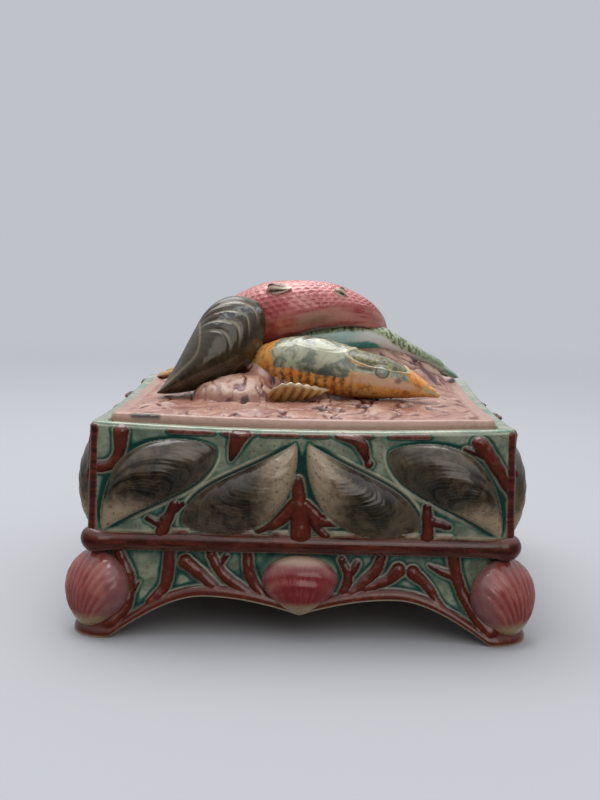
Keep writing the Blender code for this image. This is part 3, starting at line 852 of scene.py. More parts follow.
class RoseShellGlaze(Glaze):
    """Pink shells with crimson strokes that fan out from the hinge."""

    name = "rose_shell_glaze"

    def colour(self, place: Socket) -> Socket:
        """Pink, crimson strokes, painted highlights on the ribs, a mauve margin and a cream foot."""
        sheet = self.sheet
        fan = sheet.point(sheet.times(sheet.mask("fan"), 9.0), sheet.times(sheet.mask("rise"), 1.6))
        strokes = sheet.noise(fan, 1.9, 4.0, 0.7, 0.5)
        soft = sheet.noise(place, 110.0, 3.0, 0.6)
        pink = sheet.lay((0.36, 0.110, 0.092), (0.25, 0.050, 0.048), sheet.fade(soft, 0.36, 0.62))
        heart = sheet.times(sheet.mask("heart"), sheet.fade(strokes, 0.37, 0.55))
        pink = sheet.lay(pink, (0.205, 0.012, 0.017), sheet.times(heart, 0.9))
        # Painted highlight along the crests of the ribs.
        pink = sheet.lay(pink, (0.42, 0.19, 0.155), sheet.times(sheet.mask("rib"),
            sheet.fade(strokes, 0.35, 0.6, 0.15, 0.5)))
        pink = sheet.lay(pink, (0.21, 0.10, 0.105), sheet.times(sheet.mask("margin"), 0.65))
        pink = sheet.lay(pink, (0.190, 0.012, 0.016), sheet.times(sheet.mask("arc"), 0.6))
        foot = sheet.ragged(sheet.mask("foot"), soft, 0.5)
        pink = sheet.lay(pink, (0.36, 0.26, 0.15), sheet.fade(foot, 0.3, 0.9))
        return sheet.lay(pink, (0.48, 0.32, 0.24), sheet.mask("lip"))


class RockGlaze(Glaze):
    """Mauve-pink rock of the lid, plum in its grooves and cream on its heights."""

    name = "rock_glaze"
    coat = 0.12
    matt = 0.16

    def colour(self, place: Socket) -> Socket:
        """Pink rock by height and crease."""
        sheet = self.sheet
        rock = self.mottled(place, (0.40, 0.205, 0.152), (0.27, 0.110, 0.082), 85.0, 0.48)
        fine = sheet.noise(place, 420.0, 3.0, 0.65)
        rock = sheet.lay(rock, (0.50, 0.34, 0.255), sheet.times(sheet.mask("high"),
            sheet.fade(fine, 0.35, 0.6, 0.3, 0.85)))
        crease = sheet.ragged(sheet.mask("crease"), fine, 0.6)
        rock = sheet.lay(rock, (0.150, 0.045, 0.040), sheet.fade(crease, 0.22, 0.62))
        rock = sheet.lay(rock, (0.038, 0.008, 0.008), sheet.fade(crease, 0.62, 1.05))
        rock = sheet.lay(rock, (0.46, 0.29, 0.235), sheet.times(sheet.mask("bead"),
            sheet.fade(fine, 0.3, 0.6, 0.55, 0.95)))
        return sheet.lay(rock, (0.022, 0.010, 0.007), sheet.mask("chip"))


class MusselGlaze(Glaze):
    """The mussel on the lid."""

    name = "mussel_glaze"

    def colour(self, place: Socket) -> Socket:
        """The shared mussel paint, with a marbled band, pale lines and painted shade on the growth steps.
        """
        sheet = self.sheet
        paint = self.mussel_paint(place)
        olive = sheet.noise(place, 70.0, 3.0)
        paint = sheet.lay(paint, (0.040, 0.028, 0.011), sheet.fade(olive, 0.35, 0.6, 0.35, 0.75))
        marble = sheet.noise(place, 210.0, 4.0, 0.65, 0.8)
        band = sheet.lay((0.045, 0.055, 0.052), (0.30, 0.31, 0.28), sheet.fade(marble, 0.42, 0.60))
        paint = sheet.lay(paint, band, sheet.times(sheet.mask("marble"), 0.9))
        # Painted shade: near-black on the steep drop of each growth step.
        paint = sheet.lay(paint, (0.010, 0.008, 0.006), sheet.mask("step_shade"))
        return sheet.lay(paint, (0.33, 0.28, 0.19), sheet.mask("pale"))


class RoseFishGlaze(Glaze):
    """Rose-red fish with pale scale edges."""

    name = "rose_fish_glaze"

    def colour(self, place: Socket) -> Socket:
        """Rose back with pale scale edges that carry a painted highlight towards the top, and a darker,
        smoother side.
        """
        sheet = self.sheet
        soft = sheet.noise(place, 95.0, 3.0, 0.6)
        back = sheet.lay((0.62, 0.205, 0.195), (0.46, 0.095, 0.098), sheet.fade(soft, 0.38, 0.62))
        # Pale scale edges, made stronger towards the top of the fish: the edges are paint, the gain towards
        # the top is a painted highlight.
        back = sheet.lay(back, (0.78, 0.50, 0.44), sheet.times(sheet.mask("scale"), 0.85))
        side = sheet.lay((0.38, 0.075, 0.075), (0.50, 0.18, 0.145), sheet.fade(soft, 0.42, 0.62))
        side = sheet.lay(side, (0.62, 0.30, 0.25), sheet.times(sheet.mask("streak"), 0.6))
        side = sheet.lay(side, (0.30, 0.20, 0.13), sheet.times(sheet.mask("patch"), 0.8))
        body = sheet.lay(back, side, sheet.mask("side"))
        return sheet.lay(body, (0.08, 0.018, 0.020), sheet.mask("shade"))


class OchreFishGlaze(Glaze):
    """Ochre fish with a grey-green flank and an olive head."""

    name = "ochre_fish_glaze"

    def colour(self, place: Socket) -> Socket:
        """Ochre edges, a green-grey flank, dark bars and the painted head."""
        sheet = self.sheet
        soft = sheet.noise(place, 130.0, 4.0, 0.65, 0.4)
        fine = sheet.noise(place, 520.0, 3.0, 0.6)
        ochre = sheet.lay((0.80, 0.29, 0.050), (0.76, 0.44, 0.130), sheet.fade(soft, 0.38, 0.60))
        ochre = sheet.lay(ochre, (0.30, 0.090, 0.016), sheet.fade(fine, 0.48, 0.64, 0.0, 0.65))
        flank = sheet.lay((0.42, 0.43, 0.30), (0.14, 0.165, 0.125), sheet.fade(soft, 0.42, 0.60))
        body = sheet.lay(ochre, flank, sheet.fade(sheet.ragged(sheet.mask("flank"), soft, 0.8), 0.30, 0.62))
        body = sheet.lay(body, (0.090, 0.026, 0.006), sheet.times(sheet.mask("bars"),
            sheet.fade(fine, 0.35, 0.6, 0.3, 0.8)))
        body = sheet.lay(body, (0.72, 0.48, 0.33), sheet.times(sheet.mask("cheek"),
            sheet.fade(soft, 0.30, 0.50, 0.5, 1.0)))
        olive = sheet.lay((0.060, 0.055, 0.014), (0.20, 0.18, 0.060), sheet.fade(fine, 0.42, 0.6))
        body = sheet.lay(body, olive, sheet.mask("crown"))
        body = sheet.lay(body, (0.022, 0.026, 0.022), sheet.mask("ink"))
        body = sheet.lay(body, (0.30, 0.34, 0.28), sheet.mask("eye"))
        return sheet.lay(body, (0.58, 0.53, 0.36), sheet.mask("pale"))


class SeaFishGlaze(Glaze):
    """Pale blue-green fish: white belly, turquoise line and yellow-green back."""

    name = "sea_fish_glaze"

    def colour(self, place: Socket) -> Socket:
        """Colours by how high on the body they are."""
        sheet = self.sheet
        soft = sheet.noise(place, 140.0, 3.0, 0.6)
        up = sheet.ragged(sheet.mask("up"), soft, 0.35)
        belly = sheet.lay((0.025, 0.34, 0.30), (0.78, 0.85, 0.80), sheet.fade(up, -0.48, -0.26))
        belly = sheet.lay(belly, (0.30, 0.66, 0.62), sheet.times(sheet.mask("near"), 0.7))
        specks = sheet.fade(sheet.noise(place, 520.0, 3.0, 0.65), 0.46, 0.58)
        back = sheet.lay((0.48, 0.55, 0.36), (0.11, 0.14, 0.045), specks)
        body = sheet.lay(belly, back, sheet.fade(up, 0.28, 0.56))
        return sheet.lay(body, (0.30, 0.40, 0.28), sheet.times(sheet.mask("tail"), 0.7))


class FinGlaze(Glaze):
    """Fins with dark strokes between their rays."""

    name = "fin_glaze"

    def __init__(self, effects: SharedEffects, name: str, light: Colour, dark: Colour) -> None:
        """Build one fin colour.

        Args:
            effects: The shared groups.
            name: The material's name.
            light: Colour of the rays.
            dark: Colour between them.
        """
        self.name = name
        self.light = light
        self.dark = dark
        super().__init__(effects)

    def colour(self, place: Socket) -> Socket:
        """Rays over darker strokes."""
        sheet = self.sheet
        fine = sheet.noise(place, 380.0, 3.0, 0.6)
        under = sheet.lay(self.light, self.dark, sheet.times(sheet.mask("furrow"), sheet.fade(
            fine, 0.3, 0.6, 0.5, 1.0)))
        return sheet.lay(under, (0.60, 0.50, 0.36), sheet.times(sheet.mask("tip"), 0.8))


# The body of the box


@dataclass
class BodyForm:
    """Outer form of the walls and the plinth, which the relief stands on."""

    rim_half: float = 80.0
    rim_height: float = 82.0
    wall_lean: float = 1.2
    band_height: float = 36.3
    band_radius: float = 3.9
    band_proud: float = 2.5
    knob_radius: float = 5.2
    neck_in: float = 2.2
    flare: float = 7.2
    flare_power: float = 1.7
    plinth_wall: float = 6.2
    plinth_corner: float = 13.0
    arch_centre: float = 9.5
    arch_top: float = 15.6
    arch_top_across: float = 36.0
    arch_foot_across: float = 68.0
    strip_radius: float = 3.1
    strip_proud: float = 0.6

    @property
    def panel_low(self) -> float:
        """Height of the walls' panels above the table."""
        return self.band_height + self.band_radius

    def wall_half(self, height: Array) -> Array:
        """Half the outside of the walls at a height."""
        rise = self.rim_height - self.band_height
        return self.rim_half + self.wall_lean * (self.rim_height - height) / rise

    def plinth_half(self, height: Array) -> Array:
        """Half the outside of the plinth at a height."""
        drop = unit(1.0 - height / self.band_height)
        return self.wall_half(self.band_height) - self.neck_in + self.flare * drop ** self.flare_power

    def arch_height(self, across: Array) -> Array:
        """Height of the plinth's lower edge, at a distance from the middle of a side."""
        out = np.abs(across)
        inner = np.sin(np.pi / 2 * unit(out / self.arch_top_across)) ** 0.9
        share = unit((out - self.arch_top_across) / (self.arch_foot_across - self.arch_top_across))
        outer = self.arch_top * np.maximum(np.cos(np.pi / 2 * share), 0.0) ** 0.9
        middle = self.arch_centre + (self.arch_top - self.arch_centre) * inner
        return np.where(out < self.arch_top_across, middle, outer)


@dataclass
class MusselForm:
    """Outline, dome and growth of a mussel that lies on a wall."""

    length: float = 53.2
    back: float = 17.8
    front: float = 6.2
    dome: float = 8.2
    seat: float = 1.2
    back_lobe: tuple = (1.0, 0.7)
    front_lobe: tuple = (2.3, 0.6)
    outline_steps: int = 90
    growth_steps: int = 22

    def upper(self, share: Array) -> Array:
        """How far the round back stands from the hinge line."""
        return self.back * lobe(share, *self.back_lobe)

    def lower(self, share: Array) -> Array:
        """How far the straight front stands from the hinge line."""
        return self.front * lobe(share, *self.front_lobe)

    def cross(self, along: Array, aside: Array) -> tuple[Array, Array]:
        """Turn places on the wall into places on the shell.

        Args:
            along: Millimetres from the tip towards the end.
            aside: Millimetres from the hinge line.

        Returns:
            Shares along the shell, and across it from -1 at the front to 1 at the back.
        """
        share = along / self.length
        upper, lower = self.upper(share), self.lower(share)
        half = np.maximum((upper + lower) / 2.0, 0.05)
        return share, (aside - (upper - lower) / 2.0) / half

    def outline(self) -> Array:
        """The outline as rows of (along, aside, radius 0)."""
        share = (1.0 - np.cos(np.linspace(0.0, np.pi, self.outline_steps))) / 2.0
        upper = np.stack([share * self.length, self.upper(share)], axis=1)
        lower = np.stack([share * self.length, -self.lower(share)], axis=1)[::-1]
        ring = np.concatenate([upper, lower])
        return np.column_stack([ring, np.zeros(len(ring))])

    def growth(self, along: Array, aside: Array) -> Array:
        """Find the younger shell whose edge ran through each point.

        Args:
            along: Millimetres from the tip towards the end.
            aside: Millimetres from the hinge line.

        Returns:
            Its size, as a share of the whole.
        """
        low, high = np.full(along.shape, 0.02), np.ones(along.shape)
        for _ in range(self.growth_steps):
            middle = (low + high) / 2.0
            share, cross = self.cross(along / middle, aside / middle)
            inside = (share > 0.0) & (share < 1.0) & (np.abs(cross) < 1.0)
            high = np.where(inside, middle, high)
            low = np.where(inside, low, middle)
        return high


@dataclass
class WallRelief:
    """Relief of one wall: four mussels among coral, under a rim with dashes."""

    body: BodyForm
    mussel: MusselForm = field(default_factory=MusselForm)
    columns: int = 356
    rows: int = 100
    half_width: float = 78.2
    lift: float = 0.28
    coral_radius: float = 3.0
    coral_sink: float = 0.9
    thickness: float = 1.6
    mussels: tuple = ((-0.940, 0.005, 37.2, 1, False), (-0.032, 0.835, 217.2, 1, True),
        (0.032, 0.835, -37.2, -1, True), (0.940, 0.005, 142.8, -1, False))
    coral: tuple = (
        ((-1.00, 0.57, 0.8), (-0.90, 0.61, 0.9), (-0.860, 0.74, 0.9), (-0.854, 0.92, 1.2)),
        ((0.99, 0.40, 0.7), (0.90, 0.70, 1.0), (0.83, 0.88, 1.1)),
        ((0.861, 0.744, 0.6), (0.771, 0.813, 0.55)),
        ((-0.29, 0.94, 1.5), (-0.335, 0.68, 0.5)),
        ((0.18, 0.95, 1.0), (0.26, 0.88, 1.1), (0.305, 0.70, 0.6), (0.315, 0.665, 0.75)),
        ((-0.66, 0.00, 1.0), (-0.60, 0.26, 0.7)),
        ((-0.725, 0.115, 0.6), (-0.65, 0.06, 0.8)),
        ((-0.65, 0.12, 0.7), (-0.56, 0.26, 0.5)),
        ((0.60, 0.00, 1.0), (0.595, 0.28, 0.7)),
        ((0.70, 0.10, 0.6), (0.62, 0.15, 0.8)),
        ((-0.018, 0.50, 0.8), (0.000, 0.02, 1.6)),
        ((-0.03, 0.28, 1.0), (-0.10, 0.13, 1.0), (-0.20, 0.04, 0.7)),
        ((0.02, 0.27, 1.0), (0.085, 0.15, 1.0), (0.17, 0.12, 0.7)),
        ((0.05, 0.18, 0.8), (0.076, 0.067, 0.8), (0.12, -0.01, 0.7)),
    )
    rim_dashes: tuple = ((-51.0, -33.0), (-30.5, -17.5), (-16.0, -1.0), (0.5, 10.0), (13.0, 26.5),
        (32.3, 48.4))
    rim_dash_height: float = 79.9
    rim_dash_half: float = 1.5
    low_ovals: tuple = ((-52.0, -42.0), (-28.0, -17.0), (-11.0, 1.0), (10.0, 23.0), (26.0, 58.0))
    low_oval_height: float = 40.3
    low_oval_half: float = 1.15

    def _axes(self) -> tuple[Array, Array]:
        """Distances across and heights of the grid's corners."""
        across = np.linspace(-self.half_width, self.half_width, self.columns)
        height = np.linspace(self.body.band_height + 0.5, self.body.rim_height - 0.2, self.rows)
        return np.meshgrid(across, height)

    def _coral(self, across: Array, height: Array) -> tuple[Array, Array]:
        """Join the branches of coral.

        Args:
            across: Distances from the middle of the wall.
            height: Heights above the table.

        Returns:
            Height of the coral, and distance from its edge, negative inside.
        """
        surface, edge = np.full(across.shape, -5.0), np.full(across.shape, 1e3)
        body = self.body
        wobble = cloud(across, height, 3.2, 4.0, 2) * 0.32
        for branch in self.coral:
            rows = [(x * body.rim_half, body.panel_low + up * (body.rim_height - body.panel_low),
                thick * self.coral_radius) for x, up, thick in branch]
            raised, foot = coral_branch(across, height, rows, 0.93, wobble, self.coral_sink)
            surface = np.maximum(surface, raised)
            edge = np.minimum(edge, foot)
        return surface, edge

    def _ovals(self, across: Array, height: Array, spans: tuple, middle: float, half: float) -> Array:
        """Lay out a row of flat ovals.

        Args:
            across: Distances from the middle of the wall.
            height: Heights above the table.
            spans: Start and end of each oval.
            middle: Height of the row.
            half: Half the height of an oval.

        Returns:
            Distance from the nearest oval, negative inside.
        """
        edge = np.full(across.shape, 1e3)
        for start, end in spans:
            inset = min(half, (end - start) / 2.0)
            out = np.maximum(np.abs(across - (start + end) / 2.0) - (end - start) / 2.0 + inset, 0.0)
            edge = np.minimum(edge, np.hypot(out, (height - middle) * inset / half) - inset)
        return edge

    def shape(self) -> tuple[Array, Array, Array, Masks]:
        """Work out the relief.

        Returns:
            Distances across, heights, how far the surface stands out, and the masks.
        """
        across, height = self._axes()
        body = self.body
        ground = self.lift + 0.22 * cloud(across, height, 9.0, 1.0)
        ground = ground + 0.10 * cloud(across, height, 2.6, 2.0, 2)
        surface = ground.copy()
        masks = {name: np.zeros(across.shape) for name in ("mussel", "growth", "belly", "buff", "shade")}
        shell_edge = np.full(across.shape, 1e3)
        rim_line = np.zeros(across.shape)
        for place, up, turn, side, inner in self.mussels:
            angle = math.radians(turn)
            dx = across - place * body.rim_half
            dz = height - body.panel_low - up * (body.rim_height - body.panel_low)
            along = dx * math.cos(angle) + dz * math.sin(angle)
            aside = side * (-dx * math.sin(angle) + dz * math.cos(angle))
            share, cross = self.mussel.cross(along, aside)
            within = (share > 0.0) & (share < 1.0) & (np.abs(cross) < 1.0)
            away = stroke_distance(along, aside, self.mussel.outline())[0]
            edge = np.where(within, -away, away)
            growth = np.where(edge < 1.5, self.mussel.growth(along, aside), 1.0)
            dome = self.mussel.dome * lobe(share, 0.85, 0.7) * np.sqrt(np.maximum(1.0 - cross ** 2, 0.0))
            rings = 0.045 * np.sin(growth * 150.0 + 1.5 * cloud(along, aside, 9.0, 3.0 + turn))
            steps = 0.11 * np.sin(growth * 40.0 + 0.8 * cloud(along, aside, 14.0, 5.0 + turn))
            fade_in = ease(0.0, -1.5, edge)
            dome = dome + (rings + steps) * fade_in - self.mussel.seat
            surface = soft_max(surface, np.where(within, dome, -self.mussel.seat - 1.4 * away), 0.55)
            front_side = ease(0.3, -0.5, cross) * ease(0.10, 0.30, share)
            lip = ridge(edge - 1.55, 0.55) * front_side * ease(1.2, 0.85, share)
            surface += 0.45 * lip
            inside = ease(0.15, -0.35, edge)
            masks["mussel"] = np.maximum(masks["mussel"], inside)
            outer_buff = ease(0.44, 0.03, share + 0.16 * cross)
            buff = ease(0.62, 0.10, share - 0.14 * cross) if inner else outer_buff
            for name, values in (("growth", growth), ("belly", cross), ("buff", buff)):
                masks[name] = np.where(inside > 0.01, values, masks[name])
            masks["shade"] = np.maximum(masks["shade"], 0.7 * ridge(edge - 0.15, 0.36) * front_side)
            rim_line = np.maximum(rim_line, lip)
            shell_edge = np.minimum(shell_edge, edge)
        coral, coral_edge = self._coral(across, height)
        coral_edge = np.maximum(coral_edge, 0.35 - shell_edge)
        dash_edge = self._ovals(across, height, self.rim_dashes, self.rim_dash_height, self.rim_dash_half)
        oval_edge = self._ovals(across, height, self.low_ovals, self.low_oval_height, self.low_oval_half)
        oval_edge = np.maximum(oval_edge, 0.6 - coral_edge)
        surface = soft_max(surface, coral + 0.1, 0.5)
        surface = soft_max(surface, self.lift + 0.55 * ease(0.5, -0.4, dash_edge) - 0.05, 0.2)
        surface = soft_max(surface, self.lift + 0.75 * ease(0.5, -0.6, oval_edge) - 0.05, 0.2)
        hollow = blurred(surface, 5) - surface
        sink = np.minimum(np.minimum(coral_edge, shell_edge), np.minimum(dash_edge, oval_edge))
        on_ground = ease(0.0, 0.4, sink)
        masks["pool"] = on_ground * (ease(0.10, 0.95, hollow) + 0.55 * ridge(sink - 0.5, 0.8))
        masks["thin"] = on_ground * (ease(0.02, 0.30, surface - blurred(surface, 3)) + ease(
            body.rim_height - 2.4, body.rim_height - 0.4, height))
        masks["coral"] = ease(0.15, -0.25, coral_edge)
        # How high the coral stands over the ground; the glaze paints the coral lighter with it and lays
        # painted highlights on the crest.
        masks["ridge"] = unit(np.maximum(coral - ground, 0.0) / 1.9)
        masks["dash"] = np.maximum(ease(0.0, -0.5, dash_edge), ease(0.0, -0.5, oval_edge))
        thick = 0.55 + 0.45 * cloud(across, height, 5.0, 8.0, 2)
        lines = np.maximum(0.75 * ridge(coral_edge - 0.28, 0.28), ridge(oval_edge - 0.1, 0.35))
        foot_line = 0.8 * ridge(height - 40.5, 0.40) * ease(0.0, 0.5, coral_edge)
        lines = np.maximum(lines * thick, foot_line * ease(0.1, 0.6, thick))
        masks["cream"] = unit(lines) * ease(-0.1, 0.5, shell_edge)
        masks["cream"] = np.maximum(masks["cream"], 0.55 * rim_line * ease(0.0, 0.6, coral_edge))
        masks["shade"] = np.maximum(masks["shade"], 0.85 * ridge(dash_edge - 0.15, 0.32))
        border = np.minimum(self.half_width - np.abs(across), body.rim_height - 0.5 - height)
        surface = surface - 1.2 * ease(0.9, 0.0, border)
        return across, height, surface, masks

    def build(self) -> Piece:
        """Make the relief of the front wall."""
        across, height, surface, masks = self.shape()
        front = np.stack([across, -(self.body.wall_half(height) + surface), height], axis=-1)
        back = np.stack([front[-1], front[0]])
        back[:, :, 1] = -(self.body.wall_half(back[:, :, 2]) - self.thickness)
        return relief_slab("wall_relief", settled(front), settled(back), masks)


@dataclass
class PlinthRelief:
    """Relief of one side of the flared plinth, from mitre to mitre, with its arch and coral."""

    body: BodyForm
    columns: int = 300
    rows: int = 58
    coral_radius: float = 3.0
    coral_sink: float = 0.9
    edge_radius: float = 2.7
    coral: tuple = (
        ((-0.64, 0.99, 0.9), (-0.643, 0.59, 0.9), (-0.69, 0.41, 0.9)),
        ((-0.56, 0.87, 1.1), (-0.45, 0.68, 0.9), (-0.37, 0.50, 0.8)),
        ((-0.89, 0.96, 0.9), (-0.82, 0.65, 0.9), (-0.815, 0.34, 1.0), (-0.86, 0.18, 1.2)),
        ((-0.435, 0.96, 0.8), (-0.36, 0.71, 0.9), (-0.17, 0.43, 0.8)),
        ((-0.364, 0.945, 0.6), (-0.396, 0.835, 0.6)),
        ((-0.77, 0.62, 0.4), (-0.804, 0.49, 0.7)),
        ((-0.26, 0.98, 0.8), (-0.235, 0.70, 0.9), (-0.155, 0.45, 0.7)),
        ((0.205, 0.93, 0.7), (0.235, 0.72, 0.8), (0.195, 0.48, 0.7)),
        ((0.281, 0.907, 0.6), (0.249, 0.777, 0.65)),
        ((0.40, 0.98, 0.8), (0.36, 0.80, 0.9), (0.25, 0.55, 0.8)),
        ((0.48, 0.83, 1.1), (0.42, 0.71, 0.8), (0.32, 0.61, 0.8)),
        ((0.55, 0.80, 1.1), (0.61, 0.66, 0.8), (0.66, 0.42, 0.8)),
        ((0.631, 0.886, 0.5), (0.69, 0.82, 0.7), (0.745, 0.79, 0.7)),
        ((0.745, 1.04, 0.9), (0.765, 0.68, 0.9), (0.82, 0.32, 1.0), (0.87, 0.17, 1.2)),
    )

    def build(self) -> Piece:
        """Make the front side of the plinth."""
        body = self.body
        share, rise = np.meshgrid(np.linspace(-1.0, 1.0, self.columns), np.linspace(0.0, 1.0, self.rows))
        turn_length = body.plinth_corner * math.pi / 4.0
        middle = body.plinth_half(body.band_height / 2.0)
        across = share * (middle - body.plinth_corner + turn_length)
        low = body.arch_height(across)
        height = low + rise * (body.band_height - low)
        ground = 0.16 * cloud(across, height, 8.0, 11.0) + 0.08 * cloud(across, height, 2.4, 12.0, 2)
        surface, edge = np.full(across.shape, -5.0), np.full(across.shape, 1e3)
        wobble = cloud(across, height, 3.4, 14.0, 2) * 0.34
        skirt = body.band_height - body.band_radius
        for branch in self.coral:
            rows = [(x * body.rim_half, up * skirt, thick * self.coral_radius) for x, up, thick in branch]
            raised, foot = coral_branch(across, height, rows, 0.92, wobble, self.coral_sink)
            surface = soft_max(surface, raised, 0.3)
            edge = np.minimum(edge, foot)
        from_edge = height - low
        roll = np.sqrt(np.maximum(self.edge_radius ** 2 - (from_edge - 1.8) ** 2, 0.0)) - self.coral_sink
        rolled = np.abs(from_edge - 1.8) < self.edge_radius
        surface = soft_max(surface, np.where(rolled, roll, -5.0), 0.4)
        edge = np.minimum(edge, from_edge - 4.2 + 0.5 * wobble)
        foot = np.hypot((np.abs(across) - 76.0) / 9.5, (height - 4.0) / 9.0) - 1.0
        surface = soft_max(surface, 1.5 * ease(0.25, -0.3, foot), 0.4)
        edge = np.minimum(edge, foot * 9.0)
        relief = soft_max(ground, surface, 0.5)
        hollow = blurred(relief, 4) - relief
        on_ground = ease(0.0, 0.4, edge)
        unused = ("mussel", "growth", "belly", "buff", "shade", "dash")
        masks = {name: np.zeros(across.shape) for name in unused}
        clam = np.hypot(across / 15.5, (height - 22.0) / 12.5) - 1.0
        masks["pool"] = on_ground * (
            ease(0.05, 0.75, hollow) + 0.6 * ridge(edge - 0.5, 0.8)
            + 0.5 * ease(skirt - 3.0, skirt + 0.5, height) + 0.5 * ridge(clam - 0.06, 0.12))
        masks["thin"] = on_ground * ease(0.02, 0.25, relief - blurred(relief, 3))
        masks["coral"] = ease(0.15, -0.25, edge)
        # How high the coral stands over the ground; the glaze paints the coral lighter with it and lays
        # painted highlights on the crest.
        masks["ridge"] = unit(np.maximum(surface - ground, 0.0) / 1.8)
        thick = 0.5 + 0.5 * cloud(across, height, 6.0, 18.0, 2)
        masks["cream"] = unit(np.maximum(0.8 * ridge(edge - 0.3, 0.3) * thick,
            0.9 * ease(0.75, 0.25, from_edge)))
        front = self._wrap(across, height, relief)
        back = self._wrap(across[[-1, 0]], height[[-1, 0]], np.full((2, self.columns), -body.plinth_wall))
        return relief_slab("plinth_side", front, back, masks)

    def _wrap(self, across: Array, height: Array, proud: Array) -> Array:
        """Lay a flat relief on the plinth and round its corners.

        Args:
            across: Distances along the side, at half its height.
            height: Heights above the table.
            proud: How far each point stands out.

        Returns:
            Places in millimetres.
        """
        body = self.body
        half = body.plinth_half(height)
        middle = body.plinth_half(body.band_height / 2.0)
        straight = half - body.plinth_corner
        run = np.abs(across) * (straight + body.plinth_corner * math.pi / 4.0) / (
            middle - body.plinth_corner + body.plinth_corner * math.pi / 4.0)
        angle = np.clip((run - straight) / body.plinth_corner, 0.0, math.pi / 4.0)
        radius = body.plinth_corner + proud
        x = np.where(run < straight, run, straight + radius * np.sin(angle))
        return np.stack([np.sign(across) * x, -(straight + radius * np.cos(angle)), height], axis=-1)


@dataclass
class Casting:
    """Walls, ledge and floor of the box, which carry the relief."""

    body: BodyForm
    rim_wall: float = 5.2
    ledge_drop: float = 5.5
    ledge_width: float = 3.6
    ledge_height: float = 3.0
    ledge_slope: float = 3.0
    wall: float = 6.2
    floor_top: float = 40.0
    floor_underside: float = 33.5
    floor_fillet: float = 4.0
    soft: float = 0.8

    def build(self) -> Piece:
        """Make the casting: out along the underside, up the wall, over the rim and down to the floor."""
        body, soft = self.body, self.soft
        outer = float(body.wall_half(self.floor_underside))
        recess = body.rim_half - self.rim_wall
        throat = recess - self.ledge_width
        inside = body.rim_half - self.wall
        ledge = body.rim_height - self.ledge_drop
        bend = self.floor_fillet * (1.0 - math.sqrt(0.5))
        rings = [Ring(0.0, self.floor_underside), Ring(outer - soft, self.floor_underside),
            Ring(outer, self.floor_underside + soft), Ring(body.rim_half, body.rim_height - 5.0),
            Ring(body.rim_half, body.rim_height - soft), Ring(body.rim_half - 0.3 * soft,
            body.rim_height - 0.3 * soft), Ring(body.rim_half - soft, body.rim_height),
            Ring(recess + soft, body.rim_height), Ring(recess + 0.3 * soft, body.rim_height - 0.3 * soft),
            Ring(recess, body.rim_height - soft), Ring(recess, ledge), Ring(throat + 0.5 * soft, ledge),
            Ring(throat, ledge - 0.5 * soft), Ring(throat, ledge - self.ledge_height),
            Ring(inside, ledge - self.ledge_height - self.ledge_slope),
            Ring(inside, self.floor_top + self.floor_fillet), Ring(inside - bend, self.floor_top + bend),
            Ring(inside - self.floor_fillet, self.floor_top), Ring(0.0, self.floor_top)]
        return cast_form("box_casting", rings, 320, 3)


@dataclass
class Moulding:
    """Round moulding with a knob on each corner, and the strips up the corners."""

    body: BodyForm
    around: int = 28
    along: int = 640
    strip_around: int = 20
    strip_along: int = 60

    def build_band(self) -> Piece:
        """Make the moulding from a ring that is pushed out to a square with round corners."""
        body = self.body
        deselect_all()
        bpy.ops.mesh.primitive_torus_add(major_segments=self.along, minor_segments=self.around,
            major_radius=1.0, minor_radius=0.25)
        piece = take_primitive("round_moulding")
        ring = mesh_places(piece)
        turn = np.arctan2(ring[:, 1], ring[:, 0])
        tube = np.arctan2(ring[:, 2], np.hypot(ring[:, 0], ring[:, 1]) - 1.0)
        half = float(body.wall_half(body.band_height)) + body.band_proud - body.band_radius
        x, y, facing = square_ring(turn, np.full(len(turn), half), np.full(len(turn), 4.0))
        knob = ridge(np.hypot(np.abs(x) - half + 1.2, np.abs(y) - half + 1.2), 3.6)
        wave = 0.10 * cloud(x + y * 0.7, y - 0.7 * x, 12.0, 21.0)
        radius = body.band_radius + (body.knob_radius - body.band_radius) * knob + wave
        radius = radius - 0.35 * ridge(tube + 0.42, 0.13) * (1.0 - knob)
        places = np.stack([x + np.cos(facing) * radius * np.cos(tube),
            y + np.sin(facing) * radius * np.cos(tube), body.band_height + radius * np.sin(tube)], axis=1)
        move_corners(piece, places)
        write_masks(piece, {"below": ease(-0.25, -0.45, tube), "rim": np.maximum(ridge(tube - 1.15, 0.16),
            ridge(tube + 1.2, 0.16)) * (1 - knob)})
        return piece

    def build_strip(self) -> Piece:
        """Make the strip of the front right corner."""
        body = self.body

        def shape(share: Array, angle: Array) -> Formed:
            """A slightly uneven upright rod with rounded ends."""
            height = body.band_height + share * (body.rim_height - 0.3 - body.band_height)
            centre = body.wall_half(height) - body.strip_radius + body.strip_proud
            close = np.sqrt(unit((1.0 - share) / 0.03))
            grain = 0.22 * cloud(height, angle * 3.0, 7.0, 31.0)
            radius = (body.strip_radius * 0.96 + grain - 0.1) * np.minimum(close, 1.0)
            places = np.stack([centre + radius * np.cos(angle), -centre + radius * np.sin(angle), height],
                axis=1)
            facing = np.arctan2(np.sin(angle + math.pi / 4), np.cos(angle + math.pi / 4))
            rim = ridge(np.abs(facing) - 1.15, 0.15)
            return places, {"below": np.zeros(share.shape), "rim": 0.8 * rim}

        return lathe_form("corner_strip", self.strip_around, self.strip_along, shape)


